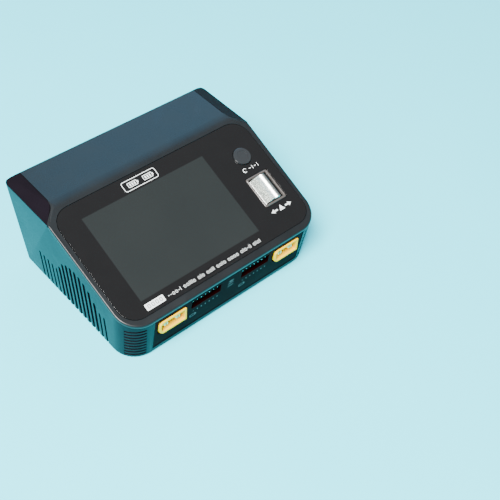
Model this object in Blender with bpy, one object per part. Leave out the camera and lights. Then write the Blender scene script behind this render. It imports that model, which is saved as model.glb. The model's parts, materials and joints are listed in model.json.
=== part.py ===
"""Two-channel desktop balance charger: a wedge-shaped box with a sloping display panel.

Body axes: X to the right along the front, Y towards the back, Z up. Sizes are written in the body's own
frame, whose zero is the middle of the front bottom edge. The last step stands the whole charger on its
feet, with the middle of its footprint at the world origin.
"""

import math

import bmesh
import bpy
from mathutils import Matrix, Vector

MM = 0.001
SEAM = 0.3 * MM           # air between two pieces that touch
RUNNING = 0.05 * MM       # radial play of a shaft in its hole

# Case
BODY_WIDTH = 119.5 * MM   # at the bottom
BODY_DEPTH = 90.0 * MM    # at the bottom
BODY_HEIGHT = 53.8 * MM   # flat top above the case bottom
FRONT_HEIGHT = 27.4 * MM  # front face up to the panel
PANEL_SLOPE = math.radians(21.2)
SIDE_LEAN = 0.05          # outward lean of each wall, metres per metre of height
FRONT_LEAN = 0.13
REAR_LEAN = 0.11
FRONT_CORNER = 12.5 * MM
REAR_CORNER = 2.5 * MM
BOTTOM_EDGE = 0.7 * MM
FOLD_RADIUS = 10.0 * MM   # soft fold between panel and flat top
RIDGE_RADIUS = 3.5 * MM
WALL = 2.2 * MM
FLOOR = 2.4 * MM
PLATE = 2.6 * MM          # thickness of the upper shell
LIP = 1.6 * MM            # edge of the upper shell that rests on the walls
STRIP_SEAM_X = 54.1 * MM  # seam between flat top and side strip
STRIP_DROP = 3.1 * MM     # the side strip falls this much to its outer edge
STRIP_FRONT_Y = 66.0 * MM
STRIP_FRONT_ANGLE = math.radians(47)
STRIP_FRONT_RADIUS = 8.0 * MM

# Vents and grips
VENT_COUNT = 16
VENT_PITCH = 3.64 * MM
VENT_WIDTH = 1.95 * MM
GROOVE_WIDTH = 1.3 * MM
VENT_FIRST_Y = 17.6 * MM
FAN_VENTS = range(2, 11)  # the slots that open into the fan, counted from the front
GROOVE_DEPTH = 0.8 * MM
GROOVE_TOP = 20.2 * MM
FAN_SIZE = 30.0 * MM
FAN_THICKNESS = 10.0 * MM
FAN_Y = VENT_FIRST_Y + 6 * VENT_PITCH
FAN_Z = 17.7 * MM
FAN_HUB = 7.4 * MM
FAN_SHAFT = 1.0 * MM
FAN_SPIDER = 1.4 * MM
FAN_BLADES = 7
GRIP_COUNT = 9
GRIP_PITCH = 2.55 * MM
GRIP_FIRST_Z = 2.7 * MM
GRIP_HEIGHT = 1.2 * MM
GRIP_DEPTH = 0.6 * MM
GRIP_ARC = (math.radians(29), math.radians(79))

# Panel, measured from the front top edge up the slope
LENS_WIDTH = 117.4 * MM
LENS_START = 4.0 * MM
LENS_LENGTH = 65.4 * MM
LENS_CORNER = 9.5 * MM
LENS_THICKNESS = 1.0 * MM
LENS_POCKET = 1.2 * MM
DISPLAY_X = -9.85 * MM
DISPLAY_T = 35.9 * MM
DISPLAY_WIDTH = 73.4 * MM
DISPLAY_LENGTH = 49.0 * MM
DISPLAY_BORDER = 3.0 * MM
DISPLAY_THICKNESS = 2.8 * MM
CONTROL_X = 45.8 * MM     # one column holds button and roller
BUTTON_T = 50.0 * MM
BUTTON_RADIUS = 4.8 * MM
BUTTON_PROUD = 0.6 * MM
BUTTON_FLANGE = 1.0 * MM
BUTTON_TRAVEL = 0.5 * MM
ROLLER_T = 28.9 * MM
ROLLER_RADIUS = 5.75 * MM
ROLLER_LENGTH = 14.6 * MM
ROLLER_PROUD = 1.9 * MM
ROLLER_AXLE = 1.0 * MM
ROLLER_RIDGES = 38
ROLLER_TOOTH = 0.25 * MM
WINDOW_WIDTH = 11.7 * MM
WINDOW_LENGTH = 15.6 * MM
BEZEL = 1.3 * MM
BEZEL_PROUD = 0.3 * MM
BEZEL_SLOPE = 0.45 * MM
ROLLER_TRAVEL = 0.5 * MM
END_GAP = 0.1 * MM        # air left under a pressed key
CARRIER_WALL = 0.9 * MM
CARRIER_GAP = 0.25 * MM
KEY_BOARD_DEPTH = 14.4 * MM
KEY_POST = 1.9 * MM
EXIT_SWITCH_HEIGHT = 4.5 * MM
BOARD_THICKNESS = 1.6 * MM

# Front sockets
PORTS_X = 1.0 * MM        # middle between the two output sockets
OUTPUT_SPACING = 73.3 * MM
SOCKET_WIDTH = 16.0 * MM
SOCKET_HEIGHT = 8.1 * MM
SOCKET_LENGTH = 16.0 * MM
SOCKET_CHAMFER = 1.6 * MM
SOCKET_WALL = 1.1 * MM
SOCKET_CAVITY = 9.5 * MM
SOCKET_Z = 18.2 * MM
SOCKET_PROUD = 1.0 * MM
PIN_SPACING = 7.2 * MM
PIN_RADIUS = 1.75 * MM
HEADER_INNER = 8.28 * MM  # first pin from the middle of the ports
HEADER_PINS = 7
HEADER_PITCH = 2.5 * MM
HEADER_PIN = 0.64 * MM
HEADER_REACH = (HEADER_PINS - 1) * HEADER_PITCH / 2 + 1.55 * MM
HEADER_OFFSET = HEADER_INNER + (HEADER_PINS - 1) * HEADER_PITCH / 2
HEADER_HEIGHT = 5.8 * MM
HEADER_PIN_RISE = 0.9 * MM  # row of pins above the middle of the opening
HEADER_PIN_REACH = 2.0 * MM  # pins stand this far out of the box, inside the wall
HEADER_WALL = 1.0 * MM
HEADER_LENGTH = 9.5 * MM
HEADER_CAVITY = 6.5 * MM
HEADER_Z = 20.3 * MM
PORT_PLATE_X = (-46.2 * MM, 49.0 * MM)
PORT_PLATE_BOTTOM = 3.0 * MM
PORT_PLATE_THICKNESS = 2.0 * MM
PLATE_SUNK = 0.2 * MM     # both port plates lie this far below the wall's face

# Boards and what stands on them
MAIN_BOARD_Z = 12.4 * MM
MAIN_BOARD_X = 46.0 * MM
MAIN_BOARD_Y = (5.0 * MM, 85.5 * MM)
BOARD_TOP = MAIN_BOARD_Z + BOARD_THICKNESS
CONVERTER_Y = 59.0 * MM    # row of transformer and capacitors
RIBBON_THICKNESS = 0.3 * MM
SCREW_PLACES = [(x * MM, y * MM) for x, y in ((-53, 9), (53, 9), (-51, 80), (51, 80))]
POST_RADIUS = 3.1 * MM
SCREW_RADIUS = 1.3 * MM
SCREW_HEAD = 2.4 * MM
SCREW_LENGTH = 12.0 * MM
BOSS_TOP = 8.0 * MM
HEAD_SEAT = 3.0 * MM      # material between the screw's head and the top of its boss
FOOT_RADIUS = 5.0 * MM
FOOT_HEIGHT = 2.0 * MM
FOOT_PROUD = 0.6 * MM
FOOT_PLACES = [(x * MM, y * MM) for x in (-44, 44) for y in (14, 76)]

# Rear
REAR_PLATE_HALF = 45.0 * MM
REAR_PLATE_Z = (5.0 * MM, 44.0 * MM)
INLET_X = -26.0 * MM
INLET_Z = 25.0 * MM
INLET_WIDTH = 17.0 * MM
INLET_HEIGHT = 9.6 * MM
INLET_FLANGE = 3.2 * MM
INLET_PROUD = 1.4 * MM
INLET_WALL = 1.4 * MM
INLET_LENGTH = 16.0 * MM
INLET_CAVITY = 11.0 * MM
INLET_PIN_SPACING = 8.6 * MM
INLET_PIN_RADIUS = 1.2 * MM
DC_X = 10.0 * MM
USB_X = 33.0 * MM
USB_WIDTH = 9.0 * MM
USB_HEIGHT = 3.3 * MM
USB_LENGTH = 9.0 * MM
USB_TONGUE = 6.7 * MM
DC_PROUD = 0.6 * MM
REAR_VENT_COUNT = 11
REAR_VENT_PITCH = 3.6 * MM
REAR_VENT_WIDTH = 1.4 * MM
REAR_VENT_X = 18.0 * MM
REAR_VENT_Z = 34.5 * MM
REAR_VENT_HEIGHT = 11.0 * MM


# ---------------------------------------------------------------- helpers

def clear_scene():
    for obj in list(bpy.data.objects):
        bpy.data.objects.remove(obj, do_unlink=True)


def material(name, colour, roughness, metallic=0.0):
    mat = bpy.data.materials.new(name)
    mat.use_nodes = True
    shader = mat.node_tree.nodes["Principled BSDF"]
    shader.inputs["Base Color"].default_value = (*colour, 1)
    shader.inputs["Roughness"].default_value = roughness
    shader.inputs["Metallic"].default_value = metallic
    return mat


def empty(name, parent=None, matrix=None):
    obj = bpy.data.objects.new(name, None)
    bpy.context.scene.collection.objects.link(obj)
    obj.parent = parent
    if matrix is not None:
        obj.matrix_local = matrix
    return obj


def put(name, bm, mat, parent, place=(0, 0, 0), turn=(0, 0, 0), smooth=False):
    """Turns a bmesh into a named object."""
    bmesh.ops.recalc_face_normals(bm, faces=bm.faces)
    mesh = bpy.data.meshes.new(name)
    bm.to_mesh(mesh)
    bm.free()
    if smooth:
        mesh.shade_smooth()
        mesh.set_sharp_from_angle(angle=math.radians(35))
    obj = bpy.data.objects.new(name, mesh)
    bpy.context.scene.collection.objects.link(obj)
    obj.parent = parent
    obj.location = place
    obj.rotation_euler = turn
    if mat is not None:
        mesh.materials.append(mat)
    return obj


def tool(name, bm, parent, place=(0, 0, 0), turn=(0, 0, 0)):
    """A cutter, left out of the model."""
    obj = put(name, bm, None, parent, place, turn)
    obj.hide_render = True
    obj.display_type = "WIRE"
    return obj


def combine(obj, other, operation):
    mod = obj.modifiers.new(other.name, "BOOLEAN")
    mod.object = other
    mod.operation = operation
    mod.solver = "EXACT"
    return obj


def cut(obj, other):
    return combine(obj, other, "DIFFERENCE")


def join(obj, other):
    return combine(obj, other, "UNION")


def prism(outline, low, high, bm=None, axis="Z"):
    """Extrudes a flat outline between two heights along an axis."""
    bm = bm or bmesh.new()
    spots = {"Z": lambda a, b, h: (a, b, h), "X": lambda a, b, h: (h, a, b), "Y": lambda a, b, h: (b, h, a)}
    spot = spots[axis]
    base = [bm.verts.new(spot(a, b, low)) for a, b in outline]
    face = bm.faces.new(base)
    grown = bmesh.ops.extrude_face_region(bm, geom=[face])
    moved = [item for item in grown["geom"] if isinstance(item, bmesh.types.BMVert)]
    bmesh.ops.translate(bm, vec=Vector(spot(0, 0, high - low)), verts=moved)
    return bm


def box(x_span, y_span, z_span, bm=None):
    outline = [(x_span[0], y_span[0]), (x_span[1], y_span[0]), (x_span[1], y_span[1]), (x_span[0], y_span[1])]
    return prism(outline, z_span[0], z_span[1], bm)


def arc(centre, radius, start, end, steps):
    """Points along an arc, ends included."""
    turns = [start + (end - start) * i / steps for i in range(steps + 1)]
    return [(centre[0] + radius * math.cos(t), centre[1] + radius * math.sin(t)) for t in turns]


def circle(radius, steps, centre=(0, 0)):
    return arc(centre, radius, 0, math.tau, steps)[:-1]


def rounded(x_span, y_span, radii, steps=6):
    """A rounded rectangle; radii run front left, front right, back right, back left."""
    (x0, x1), (y0, y1) = x_span, y_span
    a, b, c, d = radii
    return (arc((x0 + a, y0 + a), a, math.pi, 1.5 * math.pi, steps)
            + arc((x1 - b, y0 + b), b, 1.5 * math.pi, 2 * math.pi, steps)
            + arc((x1 - c, y1 - c), c, 0, 0.5 * math.pi, steps)
            + arc((x0 + d, y1 - d), d, 0.5 * math.pi, math.pi, steps))


def centred(x, y, width, length, radius, steps=5):
    return rounded((x - width / 2, x + width / 2), (y - length / 2, y + length / 2), (radius,) * 4, steps)


def bridge(bm, rings):
    """A closed solid through rings that all have the same number of points."""
    loops = [[bm.verts.new(point) for point in ring] for ring in rings]
    count = len(loops[0])
    for low, high in zip(loops, loops[1:]):
        for i in range(count):
            bm.faces.new((low[i], low[(i + 1) % count], high[(i + 1) % count], high[i]))
    bm.faces.new(loops[0][::-1])
    bm.faces.new(loops[-1])
    return bm


def flat_ring(outline, z):
    return [(x, y, z) for x, y in outline]


def turned(profile, steps):
    """A solid of revolution about Z; the profile runs from axis to axis."""
    bm = bmesh.new()
    return bridge(bm, [flat_ring(circle(r, steps), z) for r, z in profile])


def slice_off(bm, point, normal):
    """Removes what lies beyond a plane and closes the cut."""
    geom = bm.verts[:] + bm.edges[:] + bm.faces[:]
    out = bmesh.ops.bisect_plane(bm, geom=geom, dist=1e-7, plane_co=point, plane_no=normal, clear_outer=True)
    edges = [item for item in out["geom_cut"] if isinstance(item, bmesh.types.BMEdge)]
    if edges:
        bmesh.ops.holes_fill(bm, edges=edges, sides=0)


# ---------------------------------------------------------------- case geometry

def front_y(z):
    return -FRONT_LEAN * z


def rear_y(z):
    return BODY_DEPTH + REAR_LEAN * z


def half_width(z):
    return BODY_WIDTH / 2 + SIDE_LEAN * z


PANEL_NORMAL = Vector((0, -math.sin(PANEL_SLOPE), math.cos(PANEL_SLOPE)))
TOP_NORMAL = Vector((0, 0, 1))
REAR_NORMAL = Vector((0, 1, -REAR_LEAN)).normalized()
PANEL_START = Vector((0, front_y(FRONT_HEIGHT), FRONT_HEIGHT))
FOLD = PANEL_START + Vector((0, 1 / math.tan(PANEL_SLOPE), 1)) * (BODY_HEIGHT - FRONT_HEIGHT)
RIDGE = Vector((0, rear_y(BODY_HEIGHT), BODY_HEIGHT))
STRIP_SLOPE = math.atan2(STRIP_DROP, half_width(BODY_HEIGHT) - STRIP_SEAM_X)


def fillet_planes(edge, first, second, radius, steps):
    """Planes that touch a round edge between two faces, the two faces included."""
    centre = edge - (first + second) * radius / (1 + first.dot(second))
    turn = first.angle(second)
    planes = []
    for i in range(steps + 1):
        share = i / steps
        normal = (first * math.sin((1 - share) * turn) + second * math.sin(share * turn)).normalized()
        planes.append((centre + normal * radius, normal))
    return planes


def top_planes():
    planes = fillet_planes(FOLD, PANEL_NORMAL, TOP_NORMAL, FOLD_RADIUS, 4)
    planes += fillet_planes(RIDGE, TOP_NORMAL, REAR_NORMAL, RIDGE_RADIUS, 4)[1:-1]
    for side in (-1, 1):
        normal = Vector((side * math.sin(STRIP_SLOPE), 0, math.cos(STRIP_SLOPE)))
        planes.append((Vector((side * STRIP_SEAM_X, 0, BODY_HEIGHT)), normal))
    return planes


def body_ring(z, inset):
    half = half_width(z) - inset
    front = max(FRONT_CORNER - inset, MM)
    rear = max(REAR_CORNER - inset, 0.4 * MM)
    outline = (arc((-half + front, front_y(z) + inset + front), front, math.pi, 1.5 * math.pi, 10)
               + arc((half - front, front_y(z) + inset + front), front, 1.5 * math.pi, 2 * math.pi, 10)
               + arc((half - rear, rear_y(z) - inset - rear), rear, 0, 0.5 * math.pi, 3)
               + arc((-half + rear, rear_y(z) - inset - rear), rear, 0.5 * math.pi, math.pi, 3))
    return [(x, y, z) for x, y in outline]


def body_block(inset, top_inset):
    """The case as a solid, each wall set in by inset and each top face by top_inset."""
    bm = bmesh.new()
    if inset:
        levels = [(FLOOR, inset)]
    else:
        middle = BOTTOM_EDGE * (1 - math.sqrt(0.5))
        levels = [(0, BOTTOM_EDGE), (middle, middle), (BOTTOM_EDGE, 0)]
    levels.append((BODY_HEIGHT * 1.3, inset))
    bridge(bm, [body_ring(z, gap) for z, gap in levels])
    for point, normal in top_planes():
        slice_off(bm, point - normal * top_inset, normal)
    return bm


def above_line(depth):
    """Side outline of all that lies above the top faces lowered by a depth."""
    far = 3 * BODY_DEPTH
    low = PANEL_START - PANEL_NORMAL * depth
    slope = math.tan(PANEL_SLOPE)
    top = BODY_HEIGHT - depth
    fold_y = low.y + (top - low.z) / slope
    return [(-far, low.z + (-far - low.y) * slope), (fold_y, top), (far, top), (far, far), (-far, far)]


def lid_plan(grow):
    """Plan of the upper shell: full width in front, narrower between the side strips."""
    wide = BODY_WIDTH
    far = 2 * BODY_DEPTH
    seam = STRIP_SEAM_X + grow
    tilt = STRIP_FRONT_ANGLE
    corner_y = STRIP_FRONT_Y + grow * (1 - math.sin(tilt)) / math.cos(tilt)
    radius = STRIP_FRONT_RADIUS - grow
    reach = radius * math.tan((math.pi / 2 - tilt) / 2)
    side = arc((seam + radius, corner_y + reach), radius, math.pi, 1.5 * math.pi - tilt, 6)
    side = [(seam, far)] + side + [(wide, corner_y - (wide - seam) * math.tan(tilt))]
    return side + [(wide, -far), (-wide, -far)] + [(-x, y) for x, y in reversed(side)]


def lid_space(name, body, depth, grow):
    """All that belongs to the upper shell, as a tool."""
    space = tool(name, prism(above_line(depth), -2 * BODY_WIDTH, 2 * BODY_WIDTH, axis="X"), body)
    plan = tool(name + "_plan", prism(lid_plan(grow), 0, 3 * BODY_HEIGHT), body)
    return combine(space, plan, "INTERSECT")


def panel_frame():
    turn = Matrix.Rotation(PANEL_SLOPE, 4, "X")
    return Matrix.Translation(PANEL_START) @ turn


def face_frame(point, right, up):
    """A frame on a face: x to the right, y up the face, z out of it."""
    up = up.normalized()
    out = right.cross(up).normalized()
    frame = Matrix((right, up, out)).transposed().to_4x4()
    frame.translation = point
    return frame


# ---------------------------------------------------------------- shells

def vent_top(y):
    """Height of a side slot: a flat run of grooves that rises into the round fan opening."""
    across = abs(y - FAN_Y)
    reach = FAN_SIZE / 2 + 1.0 * MM
    if across < reach - 0.5 * MM:
        return max(GROOVE_TOP, FAN_Z + math.sqrt(reach ** 2 - across ** 2))
    return GROOVE_TOP


def slot_outline(y, low, high, width):
    r = width / 2
    return arc((y, high - r), r, 0, math.pi, 4) + [(y - r, low), (y + r, low)]


def side_vents(body, side):
    """Open slots over the fan and shallow grooves beside them, as two tools that lean with the wall."""
    slots = bmesh.new()
    grooves = bmesh.new()
    for i in range(VENT_COUNT):
        y = VENT_FIRST_Y + i * VENT_PITCH
        if i in FAN_VENTS:
            outline = slot_outline(y, -2 * MM, vent_top(y), VENT_WIDTH)
            prism(outline, -WALL - 0.6 * MM, 4 * MM, slots, "X")
        else:
            outline = slot_outline(y, -2 * MM, vent_top(y), GROOVE_WIDTH)
            prism(outline, -GROOVE_DEPTH, 4 * MM, grooves, "X")
    lean = math.atan(SIDE_LEAN)
    place = (side * BODY_WIDTH / 2, 0, 0)
    turn = (0, lean, 0)
    if side < 0:
        for bm in (slots, grooves):
            bmesh.ops.scale(bm, vec=(-1, 1, 1), verts=bm.verts)
        turn = (0, -lean, 0)
    slots = tool(f"slots_{side}", slots, body, place, turn)
    return [slots, tool(f"grooves_{side}", grooves, body, place, turn)]


def corner_grips(body, side):
    """Shallow level grooves round a front corner, as a tool."""
    bm = bmesh.new()
    start, end = GRIP_ARC
    for i in range(GRIP_COUNT):
        z = GRIP_FIRST_Z + i * GRIP_PITCH
        half = half_width(z)
        centre = (half - FRONT_CORNER, front_y(z) + FRONT_CORNER)
        inner = arc(centre, FRONT_CORNER - GRIP_DEPTH, -start, -end, 7)
        outer = arc(centre, FRONT_CORNER + 1.5 * MM, -end, -start, 7)
        outline = [(side * x, y) for x, y in inner + outer]
        prism(outline, z - GRIP_HEIGHT / 2, z + GRIP_HEIGHT / 2, bm)
    return tool(f"grips_{side}", bm, body)


def lower_shell(body, mat):
    shell = put("lower_shell", body_block(0, 0), mat, body)
    roof = box((-BODY_WIDTH, BODY_WIDTH), (0, 2 * BODY_DEPTH), (FLOOR, 2 * BODY_HEIGHT))
    roof = cut(tool("strip_roof", roof, body), tool("under_roof", body_block(-6 * MM, PLATE), body))
    cut(roof, tool("roof_plan", prism(lid_plan(SEAM), -BODY_HEIGHT, 3 * BODY_HEIGHT), body))
    cut(shell, cut(tool("inside", body_block(WALL, -8 * MM), body), roof))
    cut(shell, lid_space("lid_and_gap", body, LIP + SEAM, SEAM))
    posts = bmesh.new()
    for place in SCREW_PLACES:
        prism(circle(POST_RADIUS + 0.6 * MM, 14, place), FLOOR / 2, BOSS_TOP, posts)
    for place in board_screw_places():
        prism(circle(2.6 * MM, 12, place), FLOOR / 2, MAIN_BOARD_Z - SEAM, posts)
    join(shell, tool("bosses", posts, body))
    heads = bmesh.new()
    shanks = bmesh.new()
    for place in SCREW_PLACES:
        prism(circle(SCREW_HEAD + SEAM, 14, place), -MM, BOSS_TOP - HEAD_SEAT, heads)
        prism(circle(SCREW_RADIUS + SEAM, 12, place), BOSS_TOP - HEAD_SEAT - MM, BOSS_TOP + MM, shanks)
    cut(shell, tool("head_holes", heads, body))
    cut(shell, tool("shank_holes", shanks, body))
    seats = bmesh.new()
    for place in FOOT_PLACES:
        prism(circle(FOOT_RADIUS + SEAM, 20, place), -MM, FOOT_HEIGHT - FOOT_PROUD + SEAM, seats)
    cut(shell, tool("foot_seats", seats, body))
    for side in (-1, 1):
        for vents in side_vents(body, side):
            cut(shell, vents)
        cut(shell, corner_grips(body, side))
    opening = box(PORT_PLATE_X, (-20 * MM, WALL + 3 * MM), (PORT_PLATE_BOTTOM, FRONT_HEIGHT))
    cut(shell, tool("front_opening", opening, body))
    opening = box((-REAR_PLATE_HALF, REAR_PLATE_HALF), (BODY_DEPTH - 8 * MM, 2 * BODY_DEPTH), REAR_PLATE_Z)
    cut(shell, tool("rear_opening", opening, body))
    return shell


def under_lid(y):
    """Height of the upper shell's outer face above a point of the floor."""
    return min(FRONT_HEIGHT + (y - PANEL_START.y) * math.tan(PANEL_SLOPE), BODY_HEIGHT)


def upper_shell(body, panel, mat):
    shell = put("upper_shell", body_block(0, 0), mat, body)
    combine(shell, lid_space("lid_space", body, PLATE, 0), "INTERSECT")
    below = above_line(LIP)[:3]
    far = 3 * BODY_DEPTH
    rebate = tool("rebate", prism(below + [(far, -far), (-far, -far)], -far, far, axis="X"), body)
    cut(rebate, tool("rebate_core", body_block(WALL + SEAM, -4 * MM), body))
    cut(shell, rebate)
    posts = bmesh.new()
    threads = bmesh.new()
    depth = BOSS_TOP - HEAD_SEAT + SCREW_LENGTH + MM
    for place in SCREW_PLACES:
        prism(circle(POST_RADIUS, 14, place), BOSS_TOP + SEAM, BODY_HEIGHT, posts)
        prism(circle(SCREW_RADIUS, 12, place), BOSS_TOP - MM, depth, threads)
    for corner in posts.verts:
        if corner.co.z > BOSS_TOP + MM:
            corner.co.z = under_lid(corner.co.y) - PLATE + 0.5 * MM
    join(shell, tool("posts", posts, body))
    posts = bmesh.new()
    for place in key_post_places():
        prism(circle(KEY_POST, 12, place), SEAM - KEY_BOARD_DEPTH, 0.5 * MM - PLATE, posts)
    join(shell, tool("key_posts", posts, panel))
    cut(shell, tool("thread_holes", threads, body))
    cut(shell, tool("lens_pocket", prism(lens_outline(SEAM), -LENS_POCKET, 8 * MM), panel))
    outline = centred(DISPLAY_X, DISPLAY_T, DISPLAY_WIDTH + MM, DISPLAY_LENGTH + MM, MM, 2)
    holes = prism(outline, -6 * MM, MM)
    prism(circle(BUTTON_RADIUS + SEAM, 24, (CONTROL_X, BUTTON_T)), -6 * MM, MM, holes)
    length = 2 * (carrier_reach() + 2 * SEAM)
    prism(centred(CONTROL_X, ROLLER_T, WINDOW_WIDTH + 2 * SEAM, length, MM, 2), -6 * MM, MM, holes)
    cut(shell, tool("panel_holes", holes, panel))
    return shell


def lens_outline(grow):
    half = LENS_WIDTH / 2 + grow
    span = (LENS_START - grow, LENS_START + LENS_LENGTH + grow)
    return rounded((-half, half), span, (LENS_CORNER + grow,) * 4, 7)


# ---------------------------------------------------------------- panel pieces

def display_lens(panel, mat):
    lens = put("display_lens", prism(lens_outline(0), -LENS_THICKNESS, 0), mat, panel)
    holes = prism(circle(BUTTON_RADIUS + SEAM, 24, (CONTROL_X, BUTTON_T)), -2 * MM, MM)
    reach = 2 * (BEZEL + SEAM)
    outline = centred(CONTROL_X, ROLLER_T, WINDOW_WIDTH + reach, WINDOW_LENGTH + reach, MM, 2)
    prism(outline, -2 * MM, MM, holes)
    return cut(lens, tool("lens_holes", holes, panel))


def roller_bezel(panel, mat):
    """A bevelled frame round the roller window, level with the lens it sits in."""
    wide = WINDOW_WIDTH + 2 * BEZEL
    long = WINDOW_LENGTH + 2 * BEZEL
    rings = []
    for z, shrink in ((SEAM - LENS_POCKET, 0), (-0.1 * MM, 0), (BEZEL_PROUD, BEZEL_SLOPE)):
        rings.append(flat_ring(centred(CONTROL_X, ROLLER_T, wide - 2 * shrink, long - 2 * shrink, MM, 2), z))
    ring = put("roller_bezel", bridge(bmesh.new(), rings), mat, panel)
    rings = []
    for z, grow in ((-6 * MM, 0), (-0.3 * MM, 0), (BEZEL_PROUD + 0.3 * MM, BEZEL_SLOPE)):
        outline = centred(CONTROL_X, ROLLER_T, WINDOW_WIDTH + 2 * grow, WINDOW_LENGTH + 2 * grow, 0.5 * MM, 2)
        rings.append(flat_ring(outline, z))
    return cut(ring, tool("bezel_inside", bridge(bmesh.new(), rings), panel))


def display_module(panel, mat):
    wide = DISPLAY_WIDTH + 2 * DISPLAY_BORDER
    long = DISPLAY_LENGTH + 2 * DISPLAY_BORDER
    top = -PLATE - SEAM
    outline = centred(DISPLAY_X, DISPLAY_T, wide, long, 0.8 * MM, 2)
    screen = put("display_module", prism(outline, top - DISPLAY_THICKNESS, top), mat, panel)
    outline = centred(DISPLAY_X, DISPLAY_T, DISPLAY_WIDTH, DISPLAY_LENGTH, 0.3 * MM, 2)
    return cut(screen, tool("active_area", prism(outline, top - 0.3 * MM, top + MM), panel))


def display_board(panel, mat):
    top = -PLATE - 2 * SEAM - DISPLAY_THICKNESS
    low, high = DISPLAY_T - 22 * MM, DISPLAY_T + 26 * MM
    outline = rounded((DISPLAY_X - 36 * MM, DISPLAY_X + 41.5 * MM), (low, high), (2 * MM,) * 4, 3)
    board = put("display_board", prism(outline, top - BOARD_THICKNESS, top), mat, panel)
    holes = bmesh.new()
    for x in (DISPLAY_X - 33 * MM, DISPLAY_X + 38.5 * MM):
        for t in (low + 3 * MM, high - 3 * MM):
            prism(circle(1.4 * MM, 12, (x, t)), top - 3 * MM, top + MM, holes)
    return cut(board, tool("display_board_holes", holes, panel))


def key_post_places():
    """Two posts below the roller and one above the button."""
    low = ROLLER_T - carrier_reach() - KEY_POST - SEAM - 0.4 * MM
    high = BUTTON_T + BUTTON_RADIUS + BUTTON_FLANGE + KEY_POST + MM
    return [(CONTROL_X - 6 * MM, low), (CONTROL_X + 6 * MM, low), (CONTROL_X, high)]


def key_board(panel, mat):
    top = -KEY_BOARD_DEPTH
    places = key_post_places()
    span = (places[0][1] - 2.4 * MM, places[2][1] + 2.4 * MM)
    outline = rounded((CONTROL_X - 9 * MM, CONTROL_X + 9 * MM), span, (1.5 * MM,) * 4, 3)
    board = put("key_board", prism(outline, top - BOARD_THICKNESS, top), mat, panel)
    holes = bmesh.new()
    for place in places:
        prism(circle(0.9 * MM, 10, place), top - 3 * MM, top + MM, holes)
    return cut(board, tool("key_board_holes", holes, panel))


def exit_button(panel, mat):
    """A domed cap with a flange under the shell and a stem that reaches the switch."""
    flange = -PLATE - SEAM
    under = flange - 1.2 * MM
    foot = -KEY_BOARD_DEPTH + EXIT_SWITCH_HEIGHT + BUTTON_TRAVEL + END_GAP
    r = BUTTON_RADIUS
    rim = r + BUTTON_FLANGE
    edge = BUTTON_PROUD
    stem = 1.6 * MM
    profile = [(0.2 * MM, foot), (stem, foot), (stem, under), (rim, under), (rim, flange), (r, flange)]
    profile += [(r, edge - 0.35 * MM), (r - 0.12 * MM, edge - 0.12 * MM), (r - 0.45 * MM, edge)]
    profile += [(0.6 * r, edge + 0.24 * MM), (0.2 * MM, edge + 0.38 * MM)]
    return put("exit_button", turned(profile, 28), mat, panel, (CONTROL_X, BUTTON_T, 0), smooth=True)


def push_switch(name, panel, mat, t, height):
    """A square switch body with its round plunger, standing on the key board."""
    low = SEAM - KEY_BOARD_DEPTH
    top = height - KEY_BOARD_DEPTH
    body_top = top - 0.9 * MM
    rings = []
    for z, half in ((low, 3.0 * MM), (body_top - 0.4 * MM, 3.0 * MM), (body_top, 2.7 * MM)):
        rings.append(flat_ring(centred(CONTROL_X, t, 2 * half, 2 * half, 0.4 * MM, 1), z))
    switch = put(name, bridge(bmesh.new(), rings), mat, panel)
    plunger = prism(circle(1.7 * MM, 14, (CONTROL_X, t)), body_top - 0.5 * MM, top)
    return join(switch, tool(name + "_plunger", plunger, panel))


def roller_depth():
    return ROLLER_PROUD - ROLLER_RADIUS


def roller_wheel(panel, mat):
    """A finely ridged cylinder with an axle stub at each end; its own axis is its object's Y."""
    half = ROLLER_LENGTH / 2
    outline = []
    for i in range(2 * ROLLER_RIDGES):
        radius = ROLLER_RADIUS - (ROLLER_TOOTH if i % 2 else 0)
        turn = math.pi * i / ROLLER_RIDGES
        outline.append((radius * math.sin(turn), radius * math.cos(turn)))
    edge = 0.5 * MM
    small = 1 - edge / ROLLER_RADIUS
    rings = []
    for y, share in ((-half, small), (edge - half, 1), (half - edge, 1), (half, small)):
        rings.append([(x * share, y, z * share) for x, z in outline])
    place = (CONTROL_X, ROLLER_T, roller_depth())
    wheel = put("roller_wheel", bridge(bmesh.new(), rings), mat, panel, place)
    end = carrier_reach() - 0.1 * MM
    return join(wheel, tool("axle", prism(circle(ROLLER_AXLE, 14), -end, end, axis="Y"), panel, place))


def carrier_reach():
    return ROLLER_LENGTH / 2 + CARRIER_GAP + CARRIER_WALL


def carrier_bottom():
    return roller_depth() - ROLLER_RADIUS - 0.6 * MM - CARRIER_WALL


def roller_carrier(panel, mat):
    """A cradle whose two ears hold the roller's axle; it slides down onto its switch."""
    axis_z = roller_depth()
    outer = carrier_reach()
    inner = outer - CARRIER_WALL
    low = carrier_bottom()
    base = low + CARRIER_WALL
    top = axis_z + 1.9 * MM
    outline = [(-outer, low), (outer, low), (outer, top), (inner, top), (inner, base), (-inner, base)]
    outline += [(-inner, top), (-outer, top)]
    place = (CONTROL_X, ROLLER_T, 0)
    carrier = put("roller_carrier", prism(outline, -3.6 * MM, 3.6 * MM, axis="X"), mat, panel, place)
    hole = prism(circle(ROLLER_AXLE + RUNNING, 14), -2 * outer, 2 * outer, axis="Y")
    return cut(carrier, tool("axle_holes", hole, panel, (CONTROL_X, ROLLER_T, axis_z)))


# ---------------------------------------------------------------- sockets

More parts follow.
